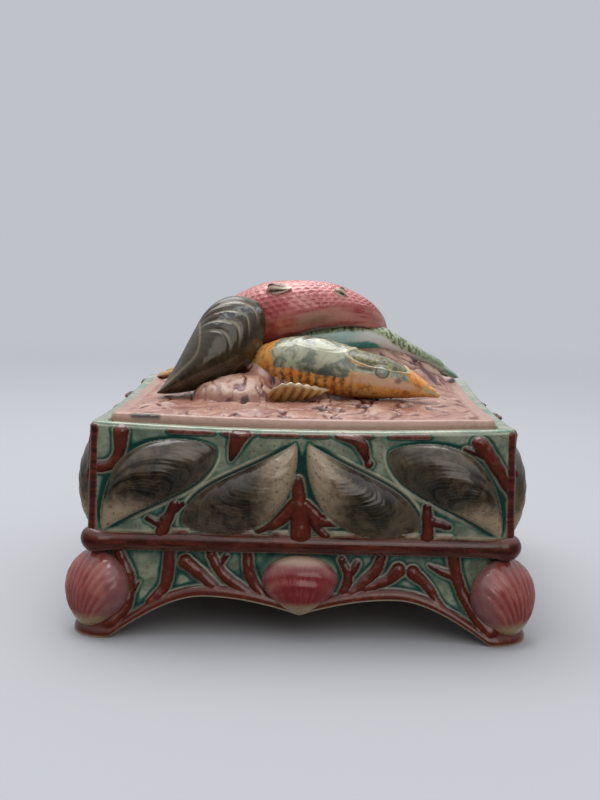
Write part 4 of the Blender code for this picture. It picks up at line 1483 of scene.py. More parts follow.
@dataclass
class FanShell:
    """A fan shell that stands on its hinge against the plinth."""

    name: str
    height: float
    half_width: float
    dome: float
    low: float
    ribs: int
    rib_depth: float
    arc_depth: float
    lean: float = 0.0
    around: int = 128
    along: int = 72

    def build(self, body: BodyForm, on_corner: bool) -> Piece:
        """Make the shell of the front, or of the front right corner.

        Args:
            body: The form of the box.
            on_corner: Whether it stands on the corner instead of in the middle.

        Returns:
            The piece.
        """
        out = float(body.plinth_half(self.low + self.height / 2.0))
        if on_corner:
            out = (out + 0.2 - body.plinth_corner * (1.0 - math.sqrt(0.5))) * math.sqrt(2.0)

        def shape(share: Array, angle: Array) -> Formed:
            """Half width and dome over the shell's height, with ribs or arcs on the dome."""
            width = self.half_width * lobe(share, 1.3, 0.5)
            across = width * np.cos(angle)
            rise = self.height * share
            fan = np.arctan2(across, rise + 2.5)
            reach = np.hypot(across, rise + 2.5) / (self.height + 2.5)
            proud = self.dome * lobe(share, 0.85, 0.55) * np.sin(angle)
            face = ease(0.0, 0.35, np.sin(angle))
            rib = np.cos(fan * self.ribs)
            fade_low = ease(0.08, 0.35, share) * ease(1.0, 0.93, share)
            detail = self.rib_depth * rib * fade_low
            arcs = np.sin(reach * 34.0 + 0.9 * cloud(across, rise, 8.0, 41.0))
            detail = detail + self.arc_depth * arcs * ease(0.2, 0.5, share)
            proud = proud + (detail - self.rib_depth - self.arc_depth) * face
            lean = math.radians(self.lean)
            upright = rise - self.height / 2.0
            places = np.stack([across, -out - proud * math.cos(lean) + upright * math.sin(lean),
                self.low + self.height / 2.0 + upright * math.cos(lean) + proud * math.sin(lean)], axis=1)
            edge = np.maximum(np.abs(np.cos(angle)), ease(0.86, 1.0, share))
            ribbed, arced = self.rib_depth > 0.1, self.arc_depth > 0.1
            off_heart = np.hypot(across / self.half_width, share - 0.52) * 1.25
            # The rib mask marks the crests of the ribs, which the glaze lightens as a painted highlight.
            return places, {
                "fan": fan, "rise": reach, "rib": (0.5 + 0.5 * rib) * fade_low * ribbed,
                "heart": ease(1.0, 0.35, off_heart), "margin": ease(0.72, 0.98, edge),
                "foot": ease(0.42, 0.06, share), "lip": ease(0.80, 0.92, share) * arced,
                "arc": (0.5 + 0.5 * arcs) * ease(0.25, 0.55, share) * arced}

        piece = lathe_form(self.name, self.around, self.along, shape)
        if on_corner:
            piece.rotation_euler = (0.0, 0.0, math.radians(45.0))
            bpy.ops.object.transform_apply(location=True, rotation=True, scale=True)
        return piece


# The lid


@dataclass
class LidForm:
    """Shared sizes of the lid."""

    half: float = 73.8
    edge_top: float = 84.2
    underside: float = 76.8
    flange_depth: float = 3.0
    flange_half: float = 70.2
    flange_width: float = 5.0
    ceiling: float = 78.0
    corner: float = 3.5
    group_height: float = 49.8

    def place(self, across: Array, back: Array, up: Array) -> Array:
        """Places from shares of the lid's half side and of the group's height."""
        return np.stack([np.asarray(across) * self.half, np.asarray(back) * self.half,
            self.edge_top + np.asarray(up) * self.group_height], axis=-1)


@dataclass
class LidGround:
    """Rocky ground of the lid inside its smooth bead."""

    lid: LidForm
    cells: int = 288
    crown: float = 3.0
    bead: float = 2.6
    bead_rise: float = 0.8
    rocks: tuple = (((0.00, -0.06, 0.00), (0.60, 0.40, 0.44)), ((-0.38, -0.38, 0.02), (0.26, 0.22, 0.20)),
        ((-0.34, 0.22, 0.02), (0.30, 0.30, 0.24)), ((0.36, 0.20, 0.02), (0.32, 0.30, 0.30)))
    hollow: tuple = ((0.00, -0.06, -0.12), (0.44, 0.27, 0.42))
    bank: tuple = ((0.30, 0.10, 0.42), (0.43, 0.17, 0.42), (0.55, 0.27, 0.37), (0.70, 0.40, 0.265),
        (0.84, 0.55, 0.150), (0.90, 0.75, 0.04))
    bank_slope: float = 1.05
    chip: tuple = (-66.0, -54.5)
    star: tuple = (-46.0, -62.0)

    def build(self) -> Piece:
        """Make the ground and the bead as one slab."""
        lid = self.lid
        line = np.linspace(-lid.half, lid.half, self.cells)
        x, y = np.meshgrid(line, line)
        a, b = x / lid.half, y / lid.half
        inside = lid.half - np.maximum(np.abs(x), np.abs(y))
        inner = ease(4.0, 7.5, inside)
        height = lid.edge_top - 0.4 + self.crown * (1 - a ** 2) * (1 - b ** 2)
        for (cx, cy, cz), (hx, hy, hz) in self.rocks:
            out = ((a - cx) / hx) ** 2 + ((b - cy) / hy) ** 2
            dome = lid.edge_top + (cz + hz * np.sqrt(np.maximum(1.0 - out, 0.0))) * lid.group_height
            height = soft_max(height, np.where(out < 1.0, dome, lid.edge_top - 3.0), 3.0)
        rows = [(bx * lid.half, by * lid.half, bz * lid.group_height / self.bank_slope)
            for bx, by, bz in self.bank]
        away, crest = stroke_distance(x, y, smooth_route(rows, 4))
        slope = lid.edge_top + self.bank_slope * (crest - away) + 0.9 * cloud(x, y, 8.0, 50.0, 2)
        height = soft_max(height, slope, 3.0)
        warp = 2.2 * cloud(x, y, 11.0, 51.0)
        lumps = cloud(x + warp, y - warp, 9.5, 52.0, 2)
        knoll = ridge(np.hypot((x + 27.0) / 20.0, (y + 30.0) / 15.0), 1.0)
        height = height + knoll * (1.6 * cloud(x + 5.0, y, 9.0, 60.0, 2) - 0.6)
        slant, across_it = 0.80 * x + 0.60 * y, -0.60 * x + 0.80 * y
        furrow = ridge(cloud(across_it, slant * 0.35, 6.5, 61.0, 2), 0.075) * ease(-10.0, 25.0, x)
        fold = cloud(x - warp, y + warp, 13.0, 53.0, 2)
        crease = ridge(fold, 0.065) * ease(-0.35, 0.10, cloud(x, y, 17.0, 54.0, 2))
        small = ridge(cloud(x + 40.0, y, 6.0, 55.0, 2), 0.06) * ease(0.0, 0.35, cloud(x, y, 14.0, 56.0, 2))
        loose_x, loose_y = slant + 1.6 * cloud(x, y, 5.0, 63.0), across_it + 1.6 * cloud(y, x, 5.0, 64.0)
        pits = ease(0.50, 0.66, cloud(loose_x, loose_y, 4.6, 57.0, 2) + 0.16 * ease(-30.0, -55.0, y))
        crevice = ridge(cloud(x * 1.4 + 9.0, y, 10.0, 62.0, 2), 0.07) * knoll
        crease = np.maximum(np.maximum(crease, crevice), np.maximum(0.8 * small, 0.75 * furrow))
        crease = unit(np.maximum(crease, pits)) * inner
        fine = cloud(x, y, 2.4, 58.0, 2)
        height = height + inner * (1.0 * lumps + 0.16 * fine) - 1.1 * crease
        star = np.hypot(x - self.star[0], y - self.star[1])
        arms = np.arctan2(y - self.star[1], x - self.star[0])
        crack = ease(6.5, 0.5, star) * ridge(np.sin(arms * 2.5), 0.22) + ease(1.3, 0.4, star)
        trail = ridge(x - self.star[0] - 1.0 - 0.6 * np.sin(y), 0.35)
        crack = np.maximum(crack, trail * (y < self.star[1]))
        crease = np.clip(crease + crack, 0.0, 1.15)
        height = height - 0.5 * unit(crack)
        past_bead = np.maximum(inside - self.bead * 0.8, 0.0)
        bead = lid.edge_top + self.bead_rise - 0.45 * past_bead * (inside < 9.0)
        bead = bead - 9.0 * ease(6.0, 9.0, inside)
        height = np.where(inside < self.bead * 0.8, lid.edge_top + self.bead_rise, height)
        height = soft_max(height, bead, 0.5)
        corner_x, corner_y = np.abs(x) - lid.half + lid.corner, np.abs(y) - lid.half + lid.corner
        rounding = np.hypot(np.maximum(corner_x, 0.0), np.maximum(corner_y, 0.0)) - lid.corner
        from_edge = -np.maximum(rounding, np.maximum(corner_x, corner_y) - lid.corner)
        fall = self.bead_rise + 1.6
        height = height - fall * (1.0 - np.sqrt(unit(1.0 - (1.0 - unit(from_edge / 1.7)) ** 2)))
        broken = ease(1.9, 1.0, inside + 1.0 * cloud(x, y, 1.8, 59.0, 2)) * (y < -lid.half * 0.9)
        broken = broken * ease(self.chip[0] - 1.0, self.chip[0] + 1.0, x) * ease(
            self.chip[1] + 1.0, self.chip[1] - 1.0, x)
        height = height - 0.5 * broken
        shrink = np.where(rounding > 0.0, lid.corner / (rounding + lid.corner), 1.0)
        at_corner, side = (corner_x > 0) & (corner_y > 0), lid.half - lid.corner
        x = np.where(at_corner, np.sign(x) * (side + corner_x * shrink), x)
        y = np.where(at_corner, np.sign(y) * (side + corner_y * shrink), y)
        masks = {"crease": crease, "high": ease(0.05, 0.55, height - blurred(height, 5)) * inner,
            "bead": ease(6.0, 4.0, inside), "chip": broken * ease(0.0, 0.4, inside)}
        front = np.stack([x, y, height], axis=-1)
        back = np.stack([front[-1], front[0]])
        back[:, :, 2] = lid.underside + 0.6
        return relief_slab("lid_ground", settled(front), settled(back), masks)

    def build_plate(self) -> Piece:
        """Make the plate below: the hollow under the group, the recess, the flange and the edge."""
        lid = self.lid
        low, top = lid.underside - lid.flange_depth, lid.edge_top - 1.6
        inner, outer = lid.flange_half - lid.flange_width, lid.half - 0.15
        centre, halves = self.hollow
        rings = []
        for step in range(7):
            angle = math.pi / 2.0 * step / 6.0
            rise = lid.edge_top + (centre[2] + halves[2] * math.cos(angle)) * lid.group_height
            if rise > lid.ceiling:
                rings.append(Ring(halves[0] * lid.half * math.sin(angle), rise, 4.0, 1.0,
                    centre[1] * lid.half, halves[1] / halves[0]))
        rings += [Ring(rings[-1].half + 0.3, lid.ceiling, 4.0, 1.0, rings[-1].back, rings[-1].flat),
            Ring(inner, lid.ceiling), Ring(inner, low + 0.4), Ring(inner + 0.4, low),
            Ring(lid.flange_half - 0.6, low), Ring(lid.flange_half, low + 0.6),
            Ring(lid.flange_half, lid.underside), Ring(outer - 0.6, lid.underside),
            Ring(outer, lid.underside + 0.6), Ring(outer, top - 0.8), Ring(outer - 0.8, top),
            Ring(0.0, top)]
        return cast_form("lid_plate", rings, 240, 2)


def axes_between(start: Array, finish: Array, side: Array) -> tuple[float, Array, Array, Array]:
    """Axes of a piece that runs from one place to another.

    Args:
        start: Where it starts.
        finish: Where it ends.
        side: Roughly where its side faces.

    Returns:
        Its length, and the axes along it, to its side and out of its face.
    """
    length = float(np.linalg.norm(finish - start))
    x_axis = (finish - start) / length
    z_axis = np.cross(x_axis, side)
    z_axis /= np.linalg.norm(z_axis)
    return length, x_axis, np.cross(z_axis, x_axis), z_axis


@dataclass
class LidMussel:
    """The closed mussel that leans on the fish."""

    lid: LidForm
    tip: tuple = (-0.835, -0.42, 0.047)
    end: tuple = (-0.270, -0.13, 0.783)
    thickness: float = 11.5
    back: float = 12.6
    front: float = 17.0
    side: tuple = (-1.0, 0.0, 1.0)
    around: int = 240
    along: int = 160

    def build(self) -> Piece:
        """Make the mussel between its tip and its end."""
        start, finish = self.lid.place(*self.tip), self.lid.place(*self.end)
        length, x_axis, y_axis, z_axis = axes_between(start, finish, np.array(self.side))
        outward = 1.0 if z_axis[1] < 0.0 else -1.0
        form = MusselForm(length, self.back, self.front, self.thickness, 0.0, (2.1, 0.65), (1.36, 0.6))
        marble = [(0.62 * length, 6.0, 1.3), (0.80 * length, 3.6, 2.0), (0.95 * length, -1.8, 1.5)]

        def shape(share: Array, angle: Array) -> Formed:
            """Back, front and dome along the shell, with nested growth steps and a pale seam."""
            upper, lower = form.upper(share), form.lower(share)
            cross = np.cos(angle)
            aside = (upper - lower) / 2.0 + cross * (upper + lower) / 2.0
            dome = form.dome * lobe(share, 1.1, 0.6)
            along = length * share
            face = np.sin(angle) * outward
            growth = form.growth(along, aside * 0.998)
            wander = cloud(along, aside, 9.0, 61.0)
            arcs = np.mod(growth * 10.0 + 0.25 * wander, 1.0)
            top = plateau(cross, -0.25, 2.0, 0.5) * ease(0.50, 0.66, share) * ease(0.45, 0.6, growth)
            stepped = 1.1 * ease(0.0, 0.85, arcs) * ease(1.0, 0.9, arcs) * top
            fine = 0.09 * np.sin(growth * 120.0 + 1.6 * wander) * (0.2 + 0.8 * top)
            turn_out = ease(0.30, 0.60, share)
            seam = aside - (1.0 * share / 0.45 + (upper - 1.0) * turn_out)
            groove = ridge(seam, 0.45) * ease(0.60, 0.52, share) * ease(0.03, 0.10, share)
            groove = groove * ease(0.0, 0.25, face)
            fade_out = ease(0.0, 0.08, share) * ease(1.0, 0.96, share)
            dent = 0.55 * ridge(seam + 0.9, 0.6) * groove
            swell = 1.0 + (fine * fade_out + stepped - 0.5 * top - dent) / 14.0
            places = (start + np.outer(along, x_axis) + np.outer(aside * swell, y_axis)
                + np.outer(np.sin(angle) * dome * swell, z_axis))
            reach, radius = stroke_distance(along, aside, smooth_route(marble, 6))
            band = ease(1.15, 0.55, reach / radius + 0.25 * wander) * ease(0.0, 0.3, face)
            # One mask marks the steep drop of each growth step, which the glaze darkens as painted shade.
            return places, {
                "growth": 0.42 + (growth - 0.42) * (0.15 + 0.85 * top), "marble": band,
                "belly": np.full(share.shape, 0.3), "buff": np.zeros(share.shape),
                "step_shade": 0.8 * ease(0.86, 0.98, arcs) * top,
                "pale": unit(np.maximum(0.85 * ridge(arcs - 0.12, 0.09) * top, 0.45 * groove))}

        return lathe_form("lid_mussel", self.around, self.along, shape)


@dataclass
class Fish:
    """A fish along its spine, drawn through rows of (across, back, up, thickness)."""

    name: str
    lid: LidForm
    spine: tuple
    around: int
    along: int
    paint: Callable[[Array, Array, Array, Array], Formed]

    def build(self) -> Piece:
        """Make the body with its own relief and masks."""
        rows = [(*self.lid.place(a, b, c), radius * self.lid.group_height)
            for a, b, c, radius in self.spine]
        path = smooth_route(rows, 24)
        steps = np.linalg.norm(np.diff(path[:, :3], axis=0), axis=1)
        run = np.concatenate([[0.0], np.cumsum(steps)])
        length = run[-1]

        def on_spine(reach: Array) -> Array:
            """Places on the spine."""
            return np.stack([np.interp(reach, run, path[:, k]) for k in range(3)], axis=1)

        def shape(share: Array, angle: Array) -> Formed:
            """Rings square to the spine, closed at both ends, with relief along their radius."""
            first, last = path[0, 3], path[-1, 3]
            along = -first + share * (length + first + last)
            inner = np.clip(along, 0.0, length)
            centre = on_spine(inner)
            ahead = on_spine(inner + 1.0) - on_spine(inner - 1.0)
            ahead /= np.linalg.norm(ahead, axis=1)[:, None]
            level = np.cross(ahead, np.array([0.0, 0.0, 1.0]))
            level /= np.linalg.norm(level, axis=1)[:, None]
            up = np.cross(level, ahead)
            radius = np.interp(inner, run, path[:, 3])
            past_end = np.where(along > length, (along - length) / last, 0.0)
            beyond = np.where(along < 0.0, -along / first, past_end)
            radius = radius * np.sqrt(np.maximum(1.0 - beyond ** 2, 0.0))
            centre = centre + ahead * (along - inner)[:, None]
            relief, masks = self.paint(along / length, angle, radius, along)
            radius = np.maximum(radius + relief * np.minimum(radius / 3.0, 1.0), 0.0)
            aside = level * np.cos(angle)[:, None] + up * np.sin(angle)[:, None]
            return centre + aside * radius[:, None], masks

        return lathe_form(self.name, self.around, self.along, shape)


def scale_pattern(along: Array, around: Array, pitch: float) -> tuple[Array, Array]:
    """Overlapping fish scales.

    Args:
        along: Millimetres along the fish.
        around: Millimetres round it.
        pitch: Width of a scale.

    Returns:
        Relief from 0 to 1, and the free edge of each scale from 0 to 1.
    """
    row = np.floor(along / pitch)
    shift = 0.5 * np.mod(row, 2.0)
    cell = np.mod(around / pitch + shift, 1.0) - 0.5
    reach = np.mod(along / pitch, 1.0)
    arc = reach - (0.25 + 2.2 * cell ** 2)
    return ease(-0.3, 0.0, arc) * ease(0.9, 0.1, arc), ridge(arc - 0.08, 0.13)


def paint_rose_fish(_share: Array, angle: Array, _radius: Array, along: Array) -> Formed:
    """Scales over the back, and a smooth, darker lower side.

    Args:
        angle: Angle round the spine.
        along: Millimetres from the nose.

    Returns:
        Relief in millimetres, and the masks.
    """
    front = np.cos(angle)
    around = angle * 12.0
    slant, across_it = 0.82 * along + 0.57 * around, -0.57 * along + 0.82 * around
    relief, edge = scale_pattern(slant + 0.7 * cloud(along, around, 9.0, 71.0), across_it, 2.3)
    upper = np.sin(angle)
    lowest = np.interp(along, (45.0, 57.0, 79.0, 99.0, 112.0), (-0.55, -0.45, -0.12, 0.33, 0.50))
    back = ease(-0.10, 0.12, upper - np.where(front > 0.0, lowest, -0.3) + 0.10 * cloud(
        along, around, 12.0, 72.0))
    strokes = ease(-0.25, 0.45, cloud(along, around, 5.0, 73.0, 2))
    # Painted highlight: the pale scale edges grow stronger towards the top of the fish.
    high = ease(0.1, 0.95, upper)
    masks = {"scale": edge * back * (0.30 + 0.70 * strokes) * (0.30 + 0.70 * high), "side": 1.0 - back,
        "patch": ridge(along - 80.0, 8.0) * ridge(upper + 0.50, 0.22) * (front > 0),
        "streak": plateau(cloud(along * 0.35, around, 3.0, 75.0, 2), 0.05, 2.0, 0.4) * (1.0 - back),
        "shade": ease(-0.70, -0.95, upper)}
    return 0.30 * relief * back + 0.15 * cloud(along, around, 7.0, 74.0) - 0.45, masks


def paint_ochre_fish(_share: Array, angle: Array, radius: Array, along: Array) -> Formed:
    """Flank, bars, gill, crown and eye of the fish that lies in front.

    Args:
        angle: Angle round the spine.
        radius: Radius of the body.
        along: Millimetres from the nose.

    Returns:
        Relief in millimetres, and the masks.
    """
    front = np.arctan2(np.sin(angle), -np.cos(angle))
    upper = np.sin(front)
    around = front * 10.0
    wander = cloud(along, around, 6.0, 81.0)
    loose = upper + 0.10 * wander
    masks: Masks = {}
    flank = plateau(along + 2.0 * wander, 37.0, 66.0, 7.0) * plateau(loose, -0.12, 1.3, 0.24)
    mist = 0.8 * plateau(along, 13.0, 38.0, 6.0) * plateau(loose, 0.16, 0.52, 0.16)
    masks["flank"] = np.maximum(flank, mist)
    stripe = 0.5 + 0.5 * np.sin(along * 2.0 * math.pi / 3.4 + 0.9 * wander)
    low_side = plateau(along, 33.0, 72.0, 8.0) * ease(0.04, -0.16, loose) * ease(-1.0, -0.7, upper)
    mottle = plateau(along, 38.0, 66.0, 4.0) * ridge(loose + 0.02, 0.14) * ease(-0.3, 0.3, wander)
    masks["bars"] = ease(0.35, 0.85, stripe) * low_side
    masks["cheek"] = 0.9 * plateau(along, 10.0, 35.0, 6.0) * plateau(loose, -0.30, 0.20, 0.26)
    plate = np.hypot((along - 26.5) / 12.5, (upper - 0.82) / 0.33)
    masks["crown"] = ease(1.0, 0.92, plate)
    arcs = np.hypot((along - 50.0) / 10.5, (upper - 0.86) / 0.20)
    lines = ridge(plate - 1.0, 0.055) + 0.45 * ridge(arcs - 1.0, 0.06) + 0.35 * ridge(arcs - 0.60, 0.06)
    eye = np.hypot(along - 24.0, (front - 0.40) * radius)
    slit = plateau(along, 27.5, 34.0, 1.5) * ridge(upper - 0.36, 0.055)
    dot = ease(1.7, 0.8, np.hypot(along - 17.3, (front - 0.14) * radius))
    masks["eye"] = ease(2.3, 1.8, eye)
    masks["ink"] = np.clip(0.8 * ridge(eye - 2.45, 0.38) + 0.75 * slit + 0.6 * dot + 0.6 * mottle, 0.0, 0.9)
    snout = 0.75 * ease(9.0, 4.0, along) * plateau(upper, -0.2, 0.45, 0.3)
    masks["pale"] = np.clip(0.75 * lines + 0.7 * ridge(eye - 3.2, 0.35) + snout, 0.0, 0.9)
    relief = 0.9 * ease(3.0, 0.5, eye) + 0.45 * unit(lines) - 0.5 * slit - 0.3
    ribs = 0.28 * (0.5 - stripe) * low_side
    return relief + ribs + 0.18 * cloud(along, around, 6.0, 83.0), masks


def paint_sea_fish(share: Array, angle: Array, _radius: Array, along: Array) -> Formed:
    """Colours by height, and a tail that pales.

    Args:
        share: Share of the way to the tail.
        angle: Angle round the spine.
        along: Millimetres from the nose.

    Returns:
        Relief in millimetres, and the masks.
    """
    around = angle * 7.0
    speckled = ease(0.30, 0.60, share)
    masks = {"up": np.sin(angle) + 0.9 * speckled, "tail": ease(0.60, 0.85, share),
        "near": ease(0.34, 0.18, share)}
    return 0.16 * cloud(along, around, 5.0, 91.0) - 0.1, masks


@dataclass
class Fin:
    """A flat fin with rays, from its root to a blunt end."""

    name: str
    lid: LidForm
    root: tuple
    tip: tuple
    half_width: float
    lean: float
    rays: int
    crosswise: bool = False
    thickness: float = 2.2
    around: int = 120
    along: int = 40

    def build(self) -> Piece:
        """Make the fin, lying flat and then leant over."""
        start, finish = self.lid.place(*self.root), self.lid.place(*self.tip)
        side = np.cross(np.array([0.0, 0.0, 1.0]), finish - start)
        length, x_axis, y_axis, z_axis = axes_between(start, finish, side)
        lean = math.radians(self.lean)
        y_new = y_axis * math.cos(lean) + z_axis * math.sin(lean)
        z_new = -y_axis * math.sin(lean) + z_axis * math.cos(lean)

        def shape(share: Array, angle: Array) -> Formed:
            """Width and thickness along the fin, with rays that fan out."""
            width = self.half_width * lobe(share, 2.0, 0.6)
            across = width * np.cos(angle)
            ray = np.cos(np.cos(angle) * self.rays * math.pi)
            if self.crosswise:
                ray = np.cos((share * self.rays + 0.55 * np.cos(angle)) * 2.0 * math.pi)
                across = across * (1.0 + 0.07 * ray)
            lift = self.thickness * lobe(share, 0.85, 0.7) * np.sin(angle) * (1.0 + 0.22 * ray)
            notch = 1.0 + 0.045 * ray * ease(0.6, 1.0, share) * (not self.crosswise)
            places = (start + np.outer(length * share * notch / 1.045, x_axis) + np.outer(across, y_new)
                + np.outer(lift, z_new))
            rim = ease(0.80, 0.97, np.abs(np.cos(angle))) if self.crosswise else ease(0.82, 0.97, share)
            return places, {"furrow": ease(0.2, -0.6, ray) * ease(0.1, 0.3, share) * (1.0 - rim),
                "tip": rim}

        return lathe_form(self.name, self.around, self.along, shape)


# Studio


@dataclass
class Studio:
    """Pale floor that curves up into a bowl, soft lights and the camera."""

    lens: float = 54.0
    eye: tuple = (4.37, -525.3, 151.9)
    yaw: float = -0.72
    pitch: float = 7.72
    roll: float = 1.12
    floor_radius: float = 1400.0
    bowl_radius: float = 1500.0
    floor_colour: Colour = (0.44, 0.45, 0.48)
    glow_colour: Colour = (0.52, 0.54, 0.585)

    def camera(self) -> None:
        """Place the camera where the photograph was taken from."""
        camera = bpy.data.cameras.new("camera")
        camera.lens = self.lens
        camera.sensor_width = 36.0
        camera.clip_start = 0.01
        camera.clip_end = 20.0
        holder = bpy.data.objects.new("camera", camera)
        bpy.context.scene.collection.objects.link(holder)
        yaw, pitch, roll = (math.radians(angle) for angle in (self.yaw, self.pitch, self.roll))
        ahead = Vector((math.sin(yaw) * math.cos(pitch), math.cos(yaw) * math.cos(pitch), -math.sin(pitch)))
        right = Vector((math.cos(yaw), -math.sin(yaw), 0.0))
        up = right.cross(ahead)
        across = right * math.cos(roll) + up * math.sin(roll)
        above = -right * math.sin(roll) + up * math.cos(roll)
        pose = Matrix((across, above, -ahead)).transposed().to_4x4()
        pose.translation = Vector(self.eye) * MM
        holder.matrix_world = pose
        bpy.context.scene.camera = holder

    def paper(self, name: str, share: float) -> bpy.types.Material:
        """Pale paper that takes the light near the object and glows evenly far from it.

        Args:
            name: The material's name.
            share: How much of the glow is there everywhere.

        Returns:
            The material.
        """
        material = bpy.data.materials.new(name)
        material.use_nodes = True
        sheet = NodeSheet(material.node_tree)
        shader = material.node_tree.nodes["Principled BSDF"]
        x, y, _ = sheet.split(sheet.place())
        away = sheet.math("SQRT", sheet.plus(sheet.times(x, x), sheet.times(y, y)))
        glow = sheet.math("MAXIMUM", sheet.fade(away, 0.25 * self.floor_radius * MM,
            0.95 * self.floor_radius * MM), share)
        sheet.feed(shader.inputs["Base Color"], sheet.lay(self.floor_colour, (0.0, 0.0, 0.0), glow))
        sheet.feed(shader.inputs["Emission Color"], sheet.lay((0.0, 0.0, 0.0), self.glow_colour, glow))
        shader.inputs["Emission Strength"].default_value = 1.0
        shader.inputs["Specular IOR Level"].default_value = 0.0
        shader.inputs["Roughness"].default_value = 0.9
        return material

    def floor(self) -> None:
        """Make the floor, and a bowl round it that is only there for the camera to see."""
        deselect_all()
        bpy.ops.mesh.primitive_circle_add(vertices=96, radius=self.floor_radius * MM, fill_type="NGON",
            location=(0.0, 0.0, -0.0002))
        floor = take_primitive("studio_floor")
        floor.data.materials.append(self.paper("studio_paper", 0.0))
        floor.visible_glossy = False
        deselect_all()
        bpy.ops.mesh.primitive_uv_sphere_add(segments=64, ring_count=32, radius=self.bowl_radius * MM)
        bowl = take_primitive("studio_bowl")
        bpy.ops.object.shade_smooth()
        bowl.data.materials.append(self.paper("studio_glow", 1.0))
        bowl.visible_diffuse = False
        bowl.visible_glossy = False
        bowl.visible_shadow = False

    @staticmethod
    def light(name: str, place: Vector, size: float, power: float, colour: Colour) -> None:
        """A square soft light that faces the object.

        Args:
            name: Its name.
            place: Where it hangs, in metres.
            size: Its side in metres.
            power: Its power in watts.
            colour: Its colour.
        """
        lamp = bpy.data.lights.new(name, "AREA")
        lamp.size = size
        lamp.energy = power
        lamp.color = colour
        holder = bpy.data.objects.new(name, lamp)
        bpy.context.scene.collection.objects.link(holder)
        holder.location = place
        holder.rotation_euler = (Vector((0.0, 0.0, 0.06)) - place).to_track_quat("-Z", "Y").to_euler()

    def lights(self) -> None:
        """Hang the lamps, and light the air from above and behind."""
        self.light("overhead", Vector((-0.15, 0.25, 1.10)), 0.9, 9.0, (1.0, 0.985, 0.97))
        self.light("front_fill", Vector((0.35, -1.2, 0.75)), 0.9, 3.2, (1.0, 0.93, 0.85))
        world = bpy.data.worlds.new("studio_air")
        world.use_nodes = True
        sheet = NodeSheet(world.node_tree)
        air = world.node_tree.nodes["Background"]
        _, y, z = sheet.split(sheet.node("ShaderNodeTexCoord").outputs["Generated"])
        above = sheet.fade(z, 0.10, 0.95)
        behind = sheet.fade(y, -0.35, 0.8)
        glow = sheet.times(above, sheet.plus(sheet.times(behind, 0.40), 0.85))
        glow = sheet.plus(glow, sheet.times(behind, 0.30))
        sheet.feed(air.inputs["Strength"], sheet.plus(glow, 0.045))
        air.inputs["Color"].default_value = (0.95, 0.97, 1.0, 1.0)
        bpy.context.scene.world = world
        bpy.context.scene.view_settings.view_transform = "Standard"

    def build(self) -> None:
        """Set up everything round the object."""
        self.camera()
        self.floor()
        self.lights()


# Assembly


class BoxAssembly:
    """The box with its relief."""

    slot = "box_glaze"

    def __init__(self, effects: SharedEffects) -> None:
        """Make the glazes of the box."""
        self.body = BodyForm()
        self.relief_glaze = RockPoolGlaze(effects).material
        self.cast_glaze = BodyGlaze(effects).material
        self.brown_glaze = OxbloodGlaze(effects).material
        self.shell_glaze = RoseShellGlaze(effects).material

    def build(self) -> None:
        """Make every piece of the box."""
        finish_piece(Casting(self.body).build(), self.cast_glaze, stands_for="box")
        for relief in (WallRelief(self.body).build(), PlinthRelief(self.body).build()):
            self.repeat(relief, self.relief_glaze)
        moulding = Moulding(self.body)
        finish_piece(moulding.build_band(), self.brown_glaze)
        self.repeat(moulding.build_strip(), self.brown_glaze)
        clam = FanShell("clam_shell", 23.2, 14.5, 7.5, 8.8, 40, 0.0, 0.16, 0.0, 96, 56)
        self.repeat(clam.build(self.body, False), self.shell_glaze)
        cockle = FanShell("corner_cockle", 31.4, 15.2, 11.0, 0.6, 52, 0.24, 0.05, 4.0)
        self.repeat(cockle.build(self.body, True), self.shell_glaze)

    def repeat(self, piece: Piece, glaze: bpy.types.Material) -> None:
        """Put a piece on all four sides, and glaze each copy."""
        for copy in on_four_sides(piece):
            finish_piece(copy, glaze)


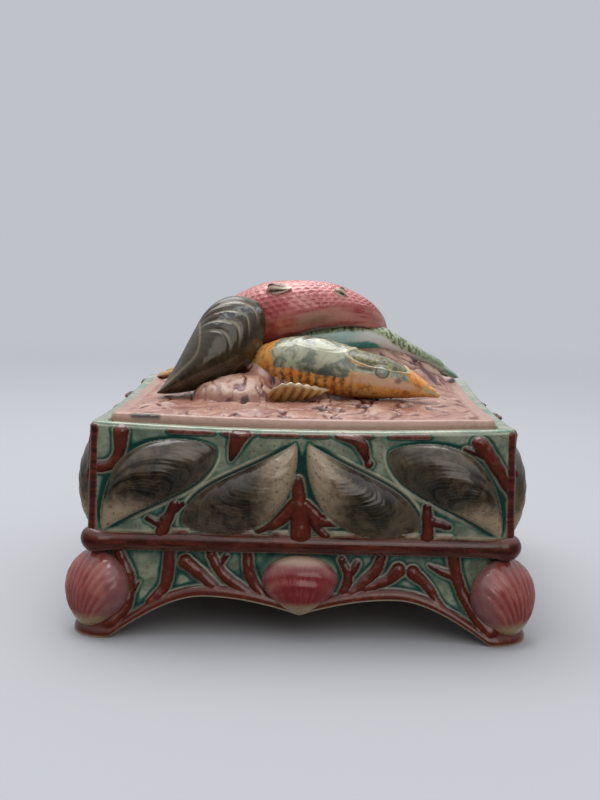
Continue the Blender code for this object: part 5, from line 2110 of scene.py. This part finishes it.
class LidAssembly:
    """The lid with its mussel and fish."""

    slot = "lid_glaze"
    rose_spine = (
        (-0.68, 0.60, 0.10, 0.070), (-0.62, 0.53, 0.21, 0.150), (-0.52, 0.42, 0.37, 0.235),
        (-0.389, 0.298, 0.526, 0.290), (-0.222, 0.108, 0.659, 0.300), (-0.090, 0.027, 0.725, 0.268),
        (0.039, 0.000, 0.760, 0.230), (0.167, 0.014, 0.756, 0.201), (0.298, 0.068, 0.711, 0.154),
        (0.382, 0.163, 0.639, 0.121), (0.437, 0.325, 0.538, 0.100), (0.469, 0.500, 0.400, 0.082),
        (0.480, 0.620, 0.260, 0.070),
    )
    ochre_spine = (
        (0.744, -0.450, 0.085, 0.025), (0.656, -0.447, 0.133, 0.082), (0.534, -0.440, 0.186, 0.147),
        (0.413, -0.427, 0.219, 0.186), (0.291, -0.407, 0.245, 0.208), (0.170, -0.379, 0.269, 0.231),
        (0.047, -0.346, 0.297, 0.245), (-0.078, -0.298, 0.307, 0.226), (-0.192, -0.217, 0.285, 0.185),
        (-0.320, -0.060, 0.235, 0.150), (-0.500, 0.140, 0.180, 0.130), (-0.690, 0.380, 0.130, 0.110),
        (-0.780, 0.530, 0.090, 0.070),
    )
    sea_spine = (
        (-0.05, 0.05, 0.44, 0.13), (0.172, 0.054, 0.490, 0.125), (0.303, 0.108, 0.498, 0.122),
        (0.425, 0.190, 0.480, 0.112), (0.553, 0.298, 0.405, 0.083), (0.700, 0.434, 0.297, 0.063),
        (0.840, 0.590, 0.185, 0.052), (0.865, 0.660, 0.140, 0.045),
    )

    def __init__(self, effects: SharedEffects) -> None:
        """Make the glazes of the lid."""
        self.lid = LidForm()
        self.rock = RockGlaze(effects).material
        self.cast = BodyGlaze(effects).material
        self.mussel = MusselGlaze(effects).material
        self.rose = RoseFishGlaze(effects).material
        self.ochre = OchreFishGlaze(effects).material
        self.sea = SeaFishGlaze(effects).material
        self.ochre_fin = FinGlaze(effects, "ochre_fin_glaze", (0.55, 0.33, 0.11),
            (0.30, 0.11, 0.03)).material
        self.sea_fin = FinGlaze(effects, "sea_fin_glaze", (0.40, 0.50, 0.38), (0.12, 0.26, 0.20)).material
        self.cream_fin = FinGlaze(effects, "cream_fin_glaze", (0.62, 0.47, 0.37),
            (0.05, 0.02, 0.02)).material
        self.rose_fin = FinGlaze(effects, "rose_fin_glaze", (0.50, 0.20, 0.19), (0.25, 0.05, 0.06)).material

    def build(self) -> None:
        """Make every piece of the lid."""
        ground = LidGround(self.lid)
        finish_piece(ground.build_plate(), self.cast, stands_for="lid")
        finish_piece(ground.build(), self.rock)
        finish_piece(LidMussel(self.lid).build(), self.mussel)
        for name, spine, around, along, paint, glaze in (
                ("rose_fish", self.rose_spine, 232, 360, paint_rose_fish, self.rose),
                ("ochre_fish", self.ochre_spine, 160, 250, paint_ochre_fish, self.ochre),
                ("sea_fish", self.sea_spine, 96, 120, paint_sea_fish, self.sea)):
            finish_piece(Fish(name, self.lid, spine, around, along, paint).build(), glaze)
        fins = (
            ("sea_tail", (0.82, 0.60, 0.18), (0.925, 0.930, 0.05), 9.5, 20, 5, self.sea_fin),
            ("ochre_tail", (-0.73, 0.44, 0.10), (-0.905, 0.86, 0.03), 10.5, -15, 5, self.ochre_fin),
            ("rose_tail", (0.47, 0.56, 0.30), (0.56, 0.84, 0.05), 10.0, 30, 5, self.rose_fin),
            ("ochre_pelvic_fin", (0.14, -0.50, 0.12), (-0.22, -0.58, 0.07), 6.6, 48, 7, self.ochre_fin),
            ("rose_side_fin", (-0.09, -0.11, 0.93), (-0.24, -0.04, 0.86), 4.5, 60, 3, self.cream_fin),
            ("rose_back_fin", (0.25, -0.03, 0.85), (0.15, -0.09, 0.90), 3.4, 60, 3, self.cream_fin))
        for name, root, tip, half, lean, rays, glaze in fins:
            fin = Fin(name, self.lid, root, tip, half, lean, rays, crosswise=name == "ochre_pelvic_fin")
            finish_piece(fin.build(), glaze)


def main() -> None:
    """Build the studio, the box and the lid."""
    logging.basicConfig(level=logging.INFO, format="%(name)s %(message)s")
    Studio().build()
    effects = SharedEffects()
    BoxAssembly(effects).build()
    LidAssembly(effects).build()


if __name__ == "__main__":
    main()
